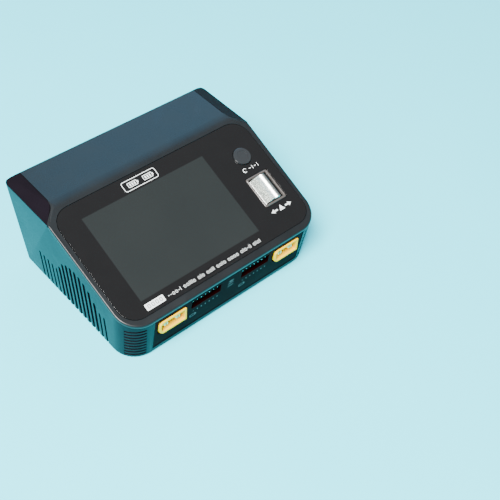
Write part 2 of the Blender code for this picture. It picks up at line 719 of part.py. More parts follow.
def power_socket(name, parent, mat):
    """A two-pole socket, its mouth towards the parent's +z; one end of its outline is narrowed."""
    def outline(inset):
        w = SOCKET_WIDTH / 2 - inset
        h = SOCKET_HEIGHT / 2 - inset
        c = SOCKET_CHAMFER - 0.4 * inset
        return [(-w, c - h), (c - w, -h), (w, -h), (w, h), (c - w, h), (-w, h - c)]
    housing = put(name, prism(outline(0), -SOCKET_LENGTH, 0), mat, parent)
    cut(housing, tool(name + "_cavity", prism(outline(SOCKET_WALL), -SOCKET_CAVITY, MM), parent))
    holes = bmesh.new()
    for x in (-PIN_SPACING / 2, PIN_SPACING / 2):
        prism(circle(PIN_RADIUS + SEAM, 14, (x, 0)), -SOCKET_LENGTH - MM, MM - SOCKET_CAVITY, holes)
    return cut(housing, tool(name + "_bores", holes, parent))


def power_pins(name, parent, mat):
    """Two round pins split by a slot, one object each."""
    back = -SOCKET_LENGTH - 0.8 * MM
    tip = -1.2 * MM
    r = PIN_RADIUS
    profile = [(0.1 * MM, back), (r, back), (r, tip - 0.6 * MM), (r - 0.5 * MM, tip), (0.1 * MM, tip)]
    for label, x in (("a", -PIN_SPACING / 2), ("b", PIN_SPACING / 2)):
        pin = put(f"{name}_{label}", turned(profile, 14), mat, parent, (x, 0, 0), smooth=True)
        slit = box((-0.3 * MM, 0.3 * MM), (-3 * MM, 3 * MM), (tip - 5 * MM, tip + MM))
        cut(pin, tool(f"{name}_{label}_slit", slit, parent, (x, 0, 0)))


def balance_header(name, parent, mat):
    """A keyed box for a seven-way plug, its mouth towards the parent's +z."""
    reach = HEADER_REACH
    tall = HEADER_HEIGHT / 2
    wide = reach + HEADER_WALL
    high = tall + HEADER_WALL * 0.6
    shell = put(name, box((-wide, wide), (-high, high), (-HEADER_LENGTH, 0)), mat, parent)
    cavity = box((-reach, reach), (-tall, tall), (-HEADER_CAVITY, MM))
    cut(shell, tool(name + "_cavity", cavity, parent))
    slots = bmesh.new()
    for x in (2.2 * MM - reach, reach - 2.2 * MM):
        box((x - 0.8 * MM, x + 0.8 * MM), (-2 * tall, 0.5 * MM - tall), (MM - HEADER_CAVITY, MM), slots)
    cut(shell, tool(name + "_keys", slots, parent))
    holes = bmesh.new()
    for x in header_places():
        r = HEADER_PIN / 2 + SEAM
        row = (HEADER_PIN_RISE - r, HEADER_PIN_RISE + r)
        box((x - r, x + r), row, (-HEADER_LENGTH - MM, 0.5 * MM - HEADER_CAVITY), holes)
    return cut(shell, tool(name + "_pin_holes", holes, parent))


def header_places():
    return [(i - (HEADER_PINS - 1) / 2) * HEADER_PITCH for i in range(HEADER_PINS)]


def balance_pins(name, parent, mat):
    """Seven square pins held by one strip behind the header."""
    back = -HEADER_LENGTH - SEAM
    rise = HEADER_PIN_RISE
    strip = box((-HEADER_REACH, HEADER_REACH), (rise - 1.2 * MM, rise + 1.2 * MM), (back - 1.6 * MM, back))
    pins = bmesh.new()
    thick = HEADER_PIN / 2
    for x in header_places():
        rings = []
        shoulder = HEADER_PIN_REACH - 0.4 * MM
        for z, half in ((back - 2.4 * MM, thick), (shoulder, thick), (HEADER_PIN_REACH, 0.5 * thick)):
            low, high = rise - half, rise + half
            corners = [(x - half, low), (x + half, low), (x + half, high), (x - half, high)]
            rings.append(flat_ring(corners, z))
        bridge(pins, rings)
    return join(put(name, strip, mat, parent), tool(name + "_row", pins, parent))


def front_port_plate(body, mat):
    """A plate level with the leaning front wall, open for the four front sockets."""
    plane = face_frame(Vector((0, 0, 0)), Vector((1, 0, 0)), Vector((0, -FRONT_LEAN, 1)))
    frame = empty("front_plane", body, plane)
    stretch = math.hypot(1, FRONT_LEAN)
    x0, x1 = PORT_PLATE_X
    low = (PORT_PLATE_BOTTOM + SEAM) * stretch
    high = (FRONT_HEIGHT - (LIP + SEAM) / math.cos(PANEL_SLOPE)) * stretch - SEAM
    slab = box((x0 + SEAM, x1 - SEAM), (low, high), (-PORT_PLATE_THICKNESS - PLATE_SUNK, -PLATE_SUNK))
    plate = put("front_port_plate", slab, mat, frame)
    holes = bmesh.new()
    socket = (SOCKET_WIDTH / 2 + SEAM, SOCKET_HEIGHT / 2 + SEAM, SOCKET_Z, OUTPUT_SPACING / 2)
    header = (HEADER_REACH, HEADER_HEIGHT / 2, HEADER_Z, HEADER_OFFSET)
    for side in (-1, 1):
        for wide, high, z, offset in (socket, header):
            x = PORTS_X + side * offset
            box((x - wide, x + wide), (-20 * MM, 20 * MM), (z - high, z + high), holes)
    return cut(plate, tool("port_holes", holes, body))


def front_sockets(body, mats):
    facing = Matrix.Rotation(math.radians(90), 4, "X")
    mouth = front_y(SOCKET_Z) - SOCKET_PROUD
    behind = (PORT_PLATE_THICKNESS + PLATE_SUNK + SEAM) * math.hypot(1, FRONT_LEAN)
    seat = front_y(HEADER_Z - HEADER_HEIGHT / 2 - HEADER_WALL) + behind
    for side, label in ((-1, "left"), (1, "right")):
        spot = (PORTS_X + side * OUTPUT_SPACING / 2, mouth, SOCKET_Z)
        frame = empty(f"output_{label}", body, Matrix.Translation(spot) @ facing)
        power_socket(f"output_socket_{label}", frame, mats["yellow"])
        power_pins(f"output_pin_{label}", frame, mats["brass"])
        spot = (PORTS_X + side * HEADER_OFFSET, seat, HEADER_Z)
        frame = empty(f"balance_{label}", body, Matrix.Translation(spot) @ facing)
        balance_header(f"balance_header_{label}", frame, mats["black"])
        balance_pins(f"balance_pins_{label}", frame, mats["tin"])


def upright(outline):
    """An outline in x and z, as the (z, x) pairs that a prism along Y takes."""
    return [(z, x) for x, z in outline]


def rear_sockets(body, mats):
    plane = face_frame(Vector((0, rear_y(0), 0)), Vector((-1, 0, 0)), Vector((0, REAR_LEAN, 1)))
    frame = empty("rear_plane", body, plane)
    stretch = math.hypot(1, REAR_LEAN)
    low, high = (z * stretch for z in REAR_PLATE_Z)
    half = REAR_PLATE_HALF - SEAM
    slab = box((-half, half), (low + SEAM, high - SEAM), (-PORT_PLATE_THICKNESS - PLATE_SUNK, -PLATE_SUNK))
    plate = put("rear_port_plate", slab, mats["shell"], frame)
    wide, tall = SOCKET_WIDTH / 2 + SEAM, SOCKET_HEIGHT / 2 + SEAM
    holes = box((DC_X - wide, DC_X + wide), (0, 2 * BODY_DEPTH), (SOCKET_Z - tall, SOCKET_Z + tall))
    usb_z = BOARD_TOP + SEAM + USB_HEIGHT / 2
    stadium = [(USB_X + x, usb_z + z) for x, z in usb_outline(SEAM)]
    prism(upright(stadium), 0, 2 * BODY_DEPTH, holes, "Y")
    for i in range(REAR_VENT_COUNT):
        x = REAR_VENT_X + (i - (REAR_VENT_COUNT - 1) / 2) * REAR_VENT_PITCH
        slot = centred(x, REAR_VENT_Z, REAR_VENT_WIDTH, REAR_VENT_HEIGHT, 0.49 * REAR_VENT_WIDTH, 2)
        prism(upright(slot), 0, 2 * BODY_DEPTH, holes, "Y")
    cut(plate, tool("rear_holes", holes, body))
    inlet_place = (-INLET_X, INLET_Z * stretch, 0)
    cut(plate, tool("inlet_hole", prism(inlet_outline(SEAM), -8 * MM, 8 * MM), frame, inlet_place))
    spot = empty("mains", frame, Matrix.Translation(inlet_place) @ Matrix.Translation((0, 0, INLET_PROUD)))
    mains_inlet(spot, mats)
    facing = Matrix.Rotation(math.pi, 4, "Z") @ Matrix.Rotation(math.pi / 2, 4, "X")
    spot = Matrix.Translation((DC_X, rear_y(SOCKET_Z) + DC_PROUD, SOCKET_Z)) @ facing
    spot = empty("dc_input", body, spot)
    power_socket("dc_input_socket", spot, mats["yellow"])
    power_pins("dc_input_pin", spot, mats["brass"])
    spot = Matrix.Translation((USB_X, rear_y(usb_z) - PLATE_SUNK - 0.1 * MM, usb_z)) @ facing
    usb_port(empty("usb", body, spot), mats)


def inlet_outline(grow):
    radius = INLET_HEIGHT / 2 + grow - 0.02 * MM
    return centred(0, 0, INLET_WIDTH + 2 * grow, INLET_HEIGHT + 2 * grow, radius, 5)


def mains_inlet(parent, mats):
    """A two-pole inlet with rounded ends and a flange outside the plate."""
    back = SEAM - PLATE_SUNK - INLET_PROUD
    rings = [flat_ring(inlet_outline(0), -INLET_LENGTH), flat_ring(inlet_outline(0), back)]
    rings.append(flat_ring(inlet_outline(INLET_FLANGE), back))
    rings.append(flat_ring(inlet_outline(INLET_FLANGE), -0.3 * MM))
    rings.append(flat_ring(inlet_outline(INLET_FLANGE - 0.4 * MM), 0))
    inlet = put("mains_inlet", bridge(bmesh.new(), rings), mats["black"], parent, smooth=True)
    cavity = prism(inlet_outline(-INLET_WALL), -INLET_CAVITY, MM)
    cut(inlet, tool("inlet_cavity", cavity, parent))
    r = INLET_PIN_RADIUS
    back = -INLET_LENGTH - 2 * MM
    profile = [(0.1 * MM, back), (r, back), (r, -3 * MM), (r - 0.5 * MM, -2.3 * MM), (0.1 * MM, -2.1 * MM)]
    for label, x in (("a", -INLET_PIN_SPACING / 2), ("b", INLET_PIN_SPACING / 2)):
        bore = prism(circle(r + SEAM, 12, (x, 0)), -INLET_LENGTH - MM, MM - INLET_CAVITY)
        cut(inlet, tool(f"inlet_bore_{label}", bore, parent))
        put(f"mains_pin_{label}", turned(profile, 12), mats["tin"], parent, (x, 0, 0), smooth=True)


def usb_outline(grow):
    radius = USB_HEIGHT / 2 + grow - 0.02 * MM
    return centred(0, 0, USB_WIDTH + 2 * grow, USB_HEIGHT + 2 * grow, radius, 4)


def usb_port(parent, mats):
    """A folded metal shell with its tongue."""
    port = put("usb_c_shell", prism(usb_outline(0), -USB_LENGTH, 0), mats["tin"], parent, smooth=True)
    cut(port, tool("usb_cavity", prism(usb_outline(-0.35 * MM), 1.4 * MM - USB_LENGTH, MM), parent))
    wide, high = USB_TONGUE / 2, 0.35 * MM
    across, up = (-wide - SEAM, wide + SEAM), (-high - SEAM, high + SEAM)
    slot = box(across, up, (-USB_LENGTH - MM, 2 * MM - USB_LENGTH))
    cut(port, tool("usb_slot", slot, parent))
    tongue = box((-wide, wide), (-high, high), (-USB_LENGTH - 0.6 * MM, -0.9 * MM))
    put("usb_c_tongue", tongue, mats["black"], parent)


# ---------------------------------------------------------------- inside

def board_screw_places():
    front, back = MAIN_BOARD_Y
    return [(x, y) for x in (-40 * MM, 40 * MM) for y in (front + 16 * MM, back - 20 * MM)]


def main_board(body, mat):
    outline = rounded((-MAIN_BOARD_X, MAIN_BOARD_X), MAIN_BOARD_Y, (2 * MM,) * 4, 3)
    board = put("main_board", prism(outline, MAIN_BOARD_Z, BOARD_TOP), mat, body)
    holes = bmesh.new()
    for place in board_screw_places():
        prism(circle(1.3 * MM, 12, place), MAIN_BOARD_Z - MM, BOARD_TOP + MM, holes)
    return cut(board, tool("board_holes", holes, body))


def transformer(body, mats):
    """An E core with its winding on the middle limb."""
    place = (-30 * MM, CONVERTER_Y, BOARD_TOP + SEAM)
    wide, deep, high, limb = 13 * MM, 6 * MM, 22 * MM, 4 * MM
    core = put("transformer_core", box((-wide, wide), (-deep, deep), (0, high)), mats["ferrite"], body, place)
    windows = bmesh.new()
    for side in (-1, 1):
        span = sorted((side * limb, side * (wide - limb)))
        box(span, (-2 * deep, 2 * deep), (limb, high - limb), windows)
    cut(core, tool("core_windows", windows, body, place))
    outline = centred(0, 0, 2 * (wide - limb - SEAM), 2 * deep + 9 * MM, 3 * MM, 3)
    coil = prism(outline, limb + SEAM, high - limb - SEAM)
    coil = put("transformer_winding", coil, mats["tape"], body, place)
    middle = box((-limb - SEAM, limb + SEAM), (-deep - SEAM, deep + SEAM), (0, high))
    cut(coil, tool("winding_inside", middle, body, place))


def capacitors(body, mat):
    r = 6.4 * MM
    neck = r - 0.5 * MM
    profile = [(0.2 * MM, 0), (neck, 0), (r, 0.6 * MM), (r, 1.8 * MM), (neck, 2.4 * MM), (r, 3 * MM)]
    profile += [(r, 24.5 * MM), (neck, 25 * MM), (0.2 * MM, 25 * MM)]
    for label, x in (("a", -8 * MM), ("b", 7 * MM)):
        place = (x, CONVERTER_Y, BOARD_TOP + SEAM)
        put(f"bulk_capacitor_{label}", turned(profile, 16), mat, body, place, smooth=True)


def heat_sink(name, body, mat, x, y):
    """A comb of upright fins on a base plate."""
    fins, pitch, thick = 5, 3.2 * MM, 1.1 * MM
    deep, high, base = 18 * MM, 9 * MM, 2 * MM
    width = (fins - 1) * pitch + thick
    outline = [(-width / 2, 0), (width / 2, 0)]
    for i in reversed(range(fins)):
        left = i * pitch - width / 2
        outline += [(left + thick, high), (left, high)]
        if i:
            outline += [(left, base), (left - pitch + thick, base)]
    bm = prism(upright(outline), -deep / 2, deep / 2, axis="Y")
    put(name, bm, mat, body, (x, y, BOARD_TOP + SEAM))


def inductor(name, body, mat, x, y):
    """A square moulded choke with bevelled edges."""
    half, high = 7 * MM, 8 * MM
    rings = []
    for z, side in ((0, half - 0.5 * MM), (0.6 * MM, half), (high - 1 * MM, half), (high, half - 1.2 * MM)):
        rings.append(flat_ring(centred(0, 0, 2 * side, 2 * side, 2 * MM, 2), z))
    put(name, bridge(bmesh.new(), rings), mat, body, (x, y, BOARD_TOP + SEAM))


def line_parts(body, mats):
    """Filter choke, film capacitor and fuse of the mains side, and the buzzer."""
    top = BOARD_TOP + SEAM
    place = (24 * MM, CONVERTER_Y + 4 * MM, top)
    choke = put("line_filter_choke", prism(circle(6 * MM, 18), 0, 6.5 * MM), mats["ferrite"], body, place)
    cut(choke, tool("choke_hole", prism(circle(2.6 * MM, 14), -MM, 8 * MM), body, place))
    rings = []
    for z, wide, deep in ((0, 15, 6), (10, 15, 6), (11, 14, 5)):
        rings.append(flat_ring(centred(0, 0, wide * MM, deep * MM, MM, 2), z * MM))
    place = (24 * MM, CONVERTER_Y - 9 * MM, top)
    put("film_capacitor", bridge(bmesh.new(), rings), mats["yellow"], body, place)
    cap, glass, end, neck = 2.6 * MM, 2.3 * MM, 10 * MM, 5 * MM
    profile = [(0.2 * MM, -end), (cap, -end), (cap, -neck), (glass, 0.2 * MM - neck)]
    profile += [(r, -z) for r, z in reversed(profile)]
    place = (-10 * MM, CONVERTER_Y + 14 * MM, top + cap)
    put("fuse", turned(profile, 14), mats["tin"], body, place, (0, math.pi / 2, 0), smooth=True)
    r, high, port = 4.5 * MM, 6.4 * MM, 0.8 * MM
    profile = [(port, 0), (r - 0.3 * MM, 0), (r, 0.4 * MM), (r, high - 0.4 * MM), (r - 0.4 * MM, high)]
    profile += [(1.5 * port, high), (port, high - 1.2 * MM)]
    put("buzzer", turned(profile, 16), mats["black"], body, (0, 26 * MM, top), smooth=True)


def display_ribbon(body, mat):
    """A flat cable from the display board down to the main board, as one folded strip."""
    depth = PLATE + 3 * SEAM + DISPLAY_THICKNESS + BOARD_THICKNESS
    start = panel_frame() @ Vector((0, DISPLAY_T + 8 * MM, -depth))
    y = start.y
    route = [(y, start.z), (y - 1.5 * MM, start.z - 6 * MM), (y - 1 * MM, BOARD_TOP + 6 * MM)]
    route.append((y - 3 * MM, BOARD_TOP + SEAM))
    outline = route + [(y + RIBBON_THICKNESS, z) for y, z in reversed(route)]
    x = DISPLAY_X - 2 * MM
    put("display_ribbon", prism(outline, x - 7 * MM, x + 7 * MM, axis="X"), mat, body)


def cooling_fan(body, mats):
    """Frame and rotor of the fan; the rotor's own axis is its object's Z, along the body's X."""
    half = FAN_THICKNESS / 2
    middle = half_width(0) - WALL - 2 * SEAM - 0.2 * MM - half
    place = (-middle, FAN_Y, FAN_Z)
    turn = (0, -math.pi / 2, 0)
    bore = FAN_SIZE / 2 - 0.9 * MM
    outline = centred(0, 0, FAN_SIZE, FAN_SIZE, 2.2 * MM, 3)
    frame = put("fan_frame", prism(outline, -half, half), mats["black"], body, place, turn)
    cut(frame, tool("fan_bore", prism(circle(bore, 28), -2 * half, 2 * half), body, place, turn))
    floor = FAN_SPIDER - half
    spider = tool("fan_spider", prism(circle(FAN_HUB + 0.2 * MM, 20), -half, floor), body, place, turn)
    for i in range(3):
        arm = box((4 * MM, bore + 0.5 * MM), (-0.8 * MM, 0.8 * MM), (-half, floor))
        spin(arm, math.tau * (i + 0.2) / 3)
        join(spider, tool(f"fan_arm_{i}", arm, body, place, turn))
    join(frame, spider)
    bearing = prism(circle(FAN_SHAFT + 1.4 * MM, 14), floor - 0.4 * MM, half - 3 * MM)
    join(frame, tool("fan_bearing", bearing, body, place, turn))
    hole = prism(circle(FAN_SHAFT + RUNNING, 14), 0.6 * MM - half, half)
    cut(frame, tool("shaft_hole", hole, body, place, turn))

    top = half - 0.6 * MM
    skirt = floor + 0.8 * MM
    inner = FAN_HUB - 0.8 * MM
    under = top - 1.2 * MM
    profile = [(0.2 * MM, MM - half), (FAN_SHAFT, MM - half), (FAN_SHAFT, under), (inner, under)]
    profile += [(inner, skirt), (FAN_HUB, skirt), (FAN_HUB, top - 0.5 * MM), (FAN_HUB - 0.5 * MM, top)]
    profile.append((0.2 * MM, top))
    rotor = put("fan_rotor", turned(profile, 20), mats["black"], body, place, turn, smooth=True)
    for i in range(FAN_BLADES):
        blade = fan_blade(bore - 0.7 * MM, math.tau * i / FAN_BLADES)
        join(rotor, tool(f"fan_blade_{i}", blade, body, place, turn))


def spin(bm, angle):
    bmesh.ops.rotate(bm, cent=(0, 0, 0), matrix=Matrix.Rotation(angle, 3, "Z"), verts=bm.verts)


def fan_blade(tip, angle):
    """One pitched blade that starts inside the hub's wall."""
    turn = Matrix.Rotation(angle, 3, "Z")
    root = FAN_HUB - 0.6 * MM
    thick = 0.35 * MM
    rings = []
    pitch = math.radians(40)
    along = Vector((0, math.cos(pitch), math.sin(pitch)))
    across = Vector((0, -math.sin(pitch), math.cos(pitch)))
    for radius, run in ((root, 2.2 * MM), (tip, 3.2 * MM)):
        middle = Vector((radius, 0, 0.5 * MM))
        corners = ((-run, -thick), (run, -thick), (run, thick), (-run, thick))
        rings.append([turn @ (middle + along * a + across * b) for a, b in corners])
    return bridge(bmesh.new(), rings)


def feet_and_screws(body, mats):
    r = FOOT_RADIUS
    profile = [(0.3 * MM, 0), (r - 0.5 * MM, 0), (r, 0.5 * MM), (r, FOOT_HEIGHT), (0.3 * MM, FOOT_HEIGHT)]
    for i, (x, y) in enumerate(FOOT_PLACES):
        place = (x, y, -FOOT_PROUD)
        put(f"rubber_foot_{i + 1}", turned(profile, 20), mats["rubber"], body, place, smooth=True)
    shoulder = BOSS_TOP - HEAD_SEAT - SEAM
    low = shoulder - 1.8 * MM
    shank = SCREW_RADIUS - RUNNING
    end = shoulder + SCREW_LENGTH
    profile = [(0.9 * MM, low + 0.9 * MM), (0.9 * MM, low), (SCREW_HEAD - 0.3 * MM, low)]
    profile += [(SCREW_HEAD, low + 0.4 * MM), (SCREW_HEAD, shoulder), (shank, shoulder), (shank, end - MM)]
    profile.append((0.2 * MM, end))
    for i, (x, y) in enumerate(SCREW_PLACES):
        put(f"case_screw_{i + 1}", turned(profile, 12), mats["steel"], body, (x, y, 0), smooth=True)


# ---------------------------------------------------------------- assembly

def stand_on_feet(body):
    """Puts the middle of the footprint at the world origin, with the feet on z = 0."""
    bpy.context.view_layer.update()
    corners = [obj.matrix_world @ Vector(corner) for obj in bpy.data.objects
               if obj.type == "MESH" and not obj.hide_render for corner in obj.bound_box]
    low = Vector([min(c[i] for c in corners) for i in range(3)])
    high = Vector([max(c[i] for c in corners) for i in range(3)])
    body.location = (-(low.x + high.x) / 2, -(low.y + high.y) / 2, -low.z)


def build():
    clear_scene()
    mats = {
        "shell": material("black_shell", (0.018, 0.022, 0.026), 0.42),
        "lens": material("gloss_panel", (0.008, 0.009, 0.010), 0.12),
        "screen": material("screen_glass", (0.03, 0.035, 0.038), 0.25),
        "bezel": material("grey_bezel", (0.10, 0.09, 0.085), 0.35),
        "silver": material("roller_silver", (0.78, 0.79, 0.78), 0.3, 1.0),
        "yellow": material("socket_yellow", (0.9, 0.62, 0.01), 0.4),
        "brass": material("pin_gold", (0.8, 0.55, 0.2), 0.3, 1.0),
        "tin": material("bright_tin", (0.7, 0.7, 0.68), 0.3, 1.0),
        "black": material("black_nylon", (0.015, 0.015, 0.015), 0.55),
        "board": material("green_board", (0.02, 0.12, 0.05), 0.5),
        "ferrite": material("grey_ferrite", (0.06, 0.06, 0.065), 0.7),
        "tape": material("amber_tape", (0.75, 0.45, 0.05), 0.35),
        "sleeve": material("capacitor_sleeve", (0.02, 0.02, 0.06), 0.35),
        "alloy": material("bare_aluminium", (0.6, 0.61, 0.62), 0.4, 1.0),
        "rubber": material("foot_rubber", (0.02, 0.02, 0.02), 0.85),
        "steel": material("zinc_steel", (0.5, 0.5, 0.5), 0.35, 1.0),
        "flex": material("ribbon_white", (0.7, 0.7, 0.68), 0.5),
    }
    body = empty("body_frame")
    panel = empty("panel_plane", body, panel_frame())
    lower_shell(body, mats["shell"])
    upper_shell(body, panel, mats["shell"])
    display_lens(panel, mats["lens"])
    roller_bezel(panel, mats["bezel"])
    display_module(panel, mats["screen"])
    display_board(panel, mats["board"])
    key_board(panel, mats["board"])
    exit_button(panel, mats["black"])
    push_switch("exit_switch", panel, mats["black"], BUTTON_T, EXIT_SWITCH_HEIGHT)
    free = carrier_bottom() - ROLLER_TRAVEL - END_GAP + KEY_BOARD_DEPTH
    push_switch("roller_switch", panel, mats["black"], ROLLER_T, free)
    roller_wheel(panel, mats["silver"])
    roller_carrier(panel, mats["black"])
    front_port_plate(body, mats["shell"])
    front_sockets(body, mats)
    rear_sockets(body, mats)
    main_board(body, mats["board"])
    transformer(body, mats)
    capacitors(body, mats["sleeve"])
    heat_sink("heat_sink_left", body, mats["alloy"], -30 * MM, 38 * MM)
    heat_sink("heat_sink_right", body, mats["alloy"], 24 * MM, 35 * MM)
    inductor("inductor_left", body, mats["ferrite"], -29 * MM, 21.8 * MM)
    inductor("inductor_right", body, mats["ferrite"], 7 * MM, 42 * MM)
    line_parts(body, mats)
    display_ribbon(body, mats["flex"])
    cooling_fan(body, mats)
    feet_and_screws(body, mats)
    stand_on_feet(body)
    bpy.context.view_layer.update()


build()
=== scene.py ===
# %% [markdown]
# # A desktop balance charger
#
# The object is a wedge-shaped box of satin black plastic with a sloping glossy panel. The solids of
# the case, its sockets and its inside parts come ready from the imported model. This file gives each
# one its looks: soft edges, moulded textures, printed marks, a studio floor and light. Lengths are
# metres, so one millimetre is written once here and used everywhere.

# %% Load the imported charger
import json
import math
import random

import bpy
from mathutils import Euler, Matrix, Vector


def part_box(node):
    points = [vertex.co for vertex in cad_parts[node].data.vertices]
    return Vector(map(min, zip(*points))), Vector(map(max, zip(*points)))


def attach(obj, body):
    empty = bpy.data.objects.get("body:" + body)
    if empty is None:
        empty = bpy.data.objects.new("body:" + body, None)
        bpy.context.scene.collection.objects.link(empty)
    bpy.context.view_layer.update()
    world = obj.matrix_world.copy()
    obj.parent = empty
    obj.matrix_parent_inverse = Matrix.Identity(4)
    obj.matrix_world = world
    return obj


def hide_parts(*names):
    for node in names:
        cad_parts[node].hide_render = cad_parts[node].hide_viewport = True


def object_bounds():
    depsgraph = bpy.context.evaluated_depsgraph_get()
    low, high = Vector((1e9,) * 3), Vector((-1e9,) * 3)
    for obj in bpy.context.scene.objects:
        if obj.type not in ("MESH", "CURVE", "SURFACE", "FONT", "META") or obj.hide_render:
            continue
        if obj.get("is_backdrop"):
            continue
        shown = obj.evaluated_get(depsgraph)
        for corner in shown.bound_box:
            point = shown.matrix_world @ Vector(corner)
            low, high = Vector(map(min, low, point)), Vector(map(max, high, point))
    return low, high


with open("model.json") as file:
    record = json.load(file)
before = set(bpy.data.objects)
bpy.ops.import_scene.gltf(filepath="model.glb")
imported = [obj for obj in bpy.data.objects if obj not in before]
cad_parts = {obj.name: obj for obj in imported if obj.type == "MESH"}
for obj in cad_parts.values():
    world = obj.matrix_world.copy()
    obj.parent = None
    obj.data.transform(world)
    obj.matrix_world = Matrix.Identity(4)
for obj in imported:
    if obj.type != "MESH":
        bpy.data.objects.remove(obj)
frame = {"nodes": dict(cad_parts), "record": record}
cad_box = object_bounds()
MM = 0.001
print("parts:", len(frame["nodes"]), "size in mm:", [round(v / MM, 1) for v in cad_box[1] - cad_box[0]])

# %% [markdown]
# ## Hands and eyes
#
# Blender's operators act on whatever is selected, so a few small helpers come first. One leaves a
# single object selected, one opens its mesh, picks faces, edges or points by a test and runs an
# operator on them, and one writes a finished object's place into its mesh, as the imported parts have
# it. Without them each step would take five lines of selecting.

# %% Select one object
def only(obj):
    bpy.ops.object.select_all(action="DESELECT")
    obj.select_set(True)
    bpy.context.view_layer.objects.active = obj
    return obj


# %% Edit what a test picks
def edit(obj, kind, test, operator, **settings):
    """The test sees a face's centre and normal, an edge's middle and direction, or a point's place."""
    only(obj)
    bpy.ops.object.mode_set(mode="EDIT")
    bpy.ops.mesh.select_mode(type=kind)
    bpy.ops.mesh.select_all(action="DESELECT")
    bpy.ops.object.mode_set(mode="OBJECT")
    mesh = obj.data
    points = [corner.co for corner in mesh.vertices]
    if kind == "FACE":
        picks = [(face, face.center, face.normal) for face in mesh.polygons]
    elif kind == "EDGE":
        ends = [(edge, points[edge.vertices[0]], points[edge.vertices[1]]) for edge in mesh.edges]
        picks = [(edge, (a + b) / 2, b - a) for edge, a, b in ends]
    else:
        picks = [(corner, corner.co, corner.normal) for corner in mesh.vertices]
    for item, place, direction in picks:
        item.select = bool(test(place, direction))
    bpy.ops.object.mode_set(mode="EDIT")
    operator(**settings)
    bpy.ops.object.mode_set(mode="OBJECT")
    return obj


def anywhere(place, direction):
    return True


def facing_up(place, direction):
    return direction.z > 0.9


# %% Apply a modifier at once
def modify(obj, kind, **settings):
    only(obj)
    mod = obj.modifiers.new(kind.lower(), kind)
    for name, value in settings.items():
        setattr(mod, name, value)
    bpy.ops.object.modifier_apply(modifier=mod.name)
    return obj


# %% Name the object that was just added
def named(name):
    obj = bpy.context.view_layer.objects.active
    obj.name = name
    obj.data.name = name
    return obj


# %% Write a place into a mesh
def settle(obj, matrix=Matrix.Identity(4)):
    bpy.context.view_layer.update()
    obj.matrix_world = matrix @ obj.matrix_world
    only(obj)
    bpy.ops.object.transform_apply(location=True, rotation=True, scale=True)
    return obj


# %% Weld several objects into the first
def weld(first, *others):
    bpy.ops.object.select_all(action="DESELECT")
    for obj in (first, *others):
        obj.select_set(True)
    bpy.context.view_layer.objects.active = first
    bpy.ops.object.join()
    return first


# %% Hand a piece over
def hand_over(obj, finish, body="charger", nodes=(), smooth=35):
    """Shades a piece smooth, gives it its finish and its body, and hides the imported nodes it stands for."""
    only(obj)
    bpy.ops.object.shade_smooth_by_angle(angle=math.radians(smooth))
    obj.data.materials.clear()
    obj.data.materials.append(finish)
    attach(obj, body)
    if nodes:
        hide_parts(*nodes)
    print(obj.name, "faces:", len(obj.data.polygons))
    return obj


# %% [markdown]
# ## A small language for finishes
#
# A finish is a net of nodes. Built node by node it hides its own idea, so one small class wraps a
# socket: sums and products of wires make the maths nodes, and one method makes any other node. A
# finish then reads as a short formula of places, noises and colours.

# %% Wires that can be added and multiplied
class Wire:
    def __init__(self, tree, socket):
        self.tree = tree
        self.socket = socket

    def make(self, kind, settings, sockets, out=0):
        node = self.tree.nodes.new(kind)
        for name, value in settings.items():
            setattr(node, name, value)
        for name, value in sockets.items():
            if isinstance(value, Wire):
                self.tree.links.new(value.socket, node.inputs[name])
            else:
                node.inputs[name].default_value = value
        return None if out is None else Wire(self.tree, node.outputs[out])

    def maths(self, operation, *others):
        return self.make("ShaderNodeMath", {"operation": operation}, dict(enumerate((self, *others))))

    def __add__(self, other):
        return self.maths("ADD", other)

    def __sub__(self, other):
        return self.maths("SUBTRACT", other)

    def __mul__(self, other):
        return self.maths("MULTIPLY", other)

    def __truediv__(self, other):
        return self.maths("DIVIDE", other)

    def __rsub__(self, other):
        return self * -1.0 + other

    def __abs__(self):
        return self.maths("ABSOLUTE")

    __radd__ = __add__
    __rmul__ = __mul__

    def span(self, low, high):
        """0 at low, 1 at high, smooth between."""
        sockets = {"Value": self, "From Min": low, "From Max": high}
        return self.make("ShaderNodeMapRange", {"interpolation_type": "SMOOTHSTEP"}, sockets)

    def mix(self, low, high):
        """Blends two colours by this wire."""
        return self.make("ShaderNodeMix", {"data_type": "RGBA"}, {0: self, 6: (*low, 1), 7: (*high, 1)}, 2)

    def noise(self, size, detail=3.0):
        """Clouds whose lumps are about this long."""
        sockets = {"Vector": self, "Scale": 1 / size, "Detail": detail}
        return self.make("ShaderNodeTexNoise", {}, sockets, "Fac")

    def cells(self, size):
        """Distance to the nearest of many scattered points about this far apart."""
        return self.make("ShaderNodeTexVoronoi", {}, {"Vector": self, "Scale": 1 / size}, "Distance")

    def stretch(self, x, y, z):
        sockets = {0: self, 1: (x, y, z)}
        return self.make("ShaderNodeVectorMath", {"operation": "MULTIPLY"}, sockets)

    def seen_from(self, spot, turn=(0, 0, 0)):
        """The same places, counted from a spot and turned."""
        shift = Euler(turn).to_matrix() @ Vector(spot)
        return self.make("ShaderNodeMapping", {}, {"Vector": self, "Location": -shift, "Rotation": turn})

    def axis(self, name):
        return self.make("ShaderNodeSeparateXYZ", {}, {0: self}, name)


# %% Open a material
def open_material(name):
    """A material and the wire of its object coordinates."""
    mat = bpy.data.materials.new(name)
    mat.use_nodes = True
    mat.node_tree.nodes.clear()
    where = mat.node_tree.nodes.new("ShaderNodeTexCoord")
    return mat, Wire(mat.node_tree, where.outputs["Object"])


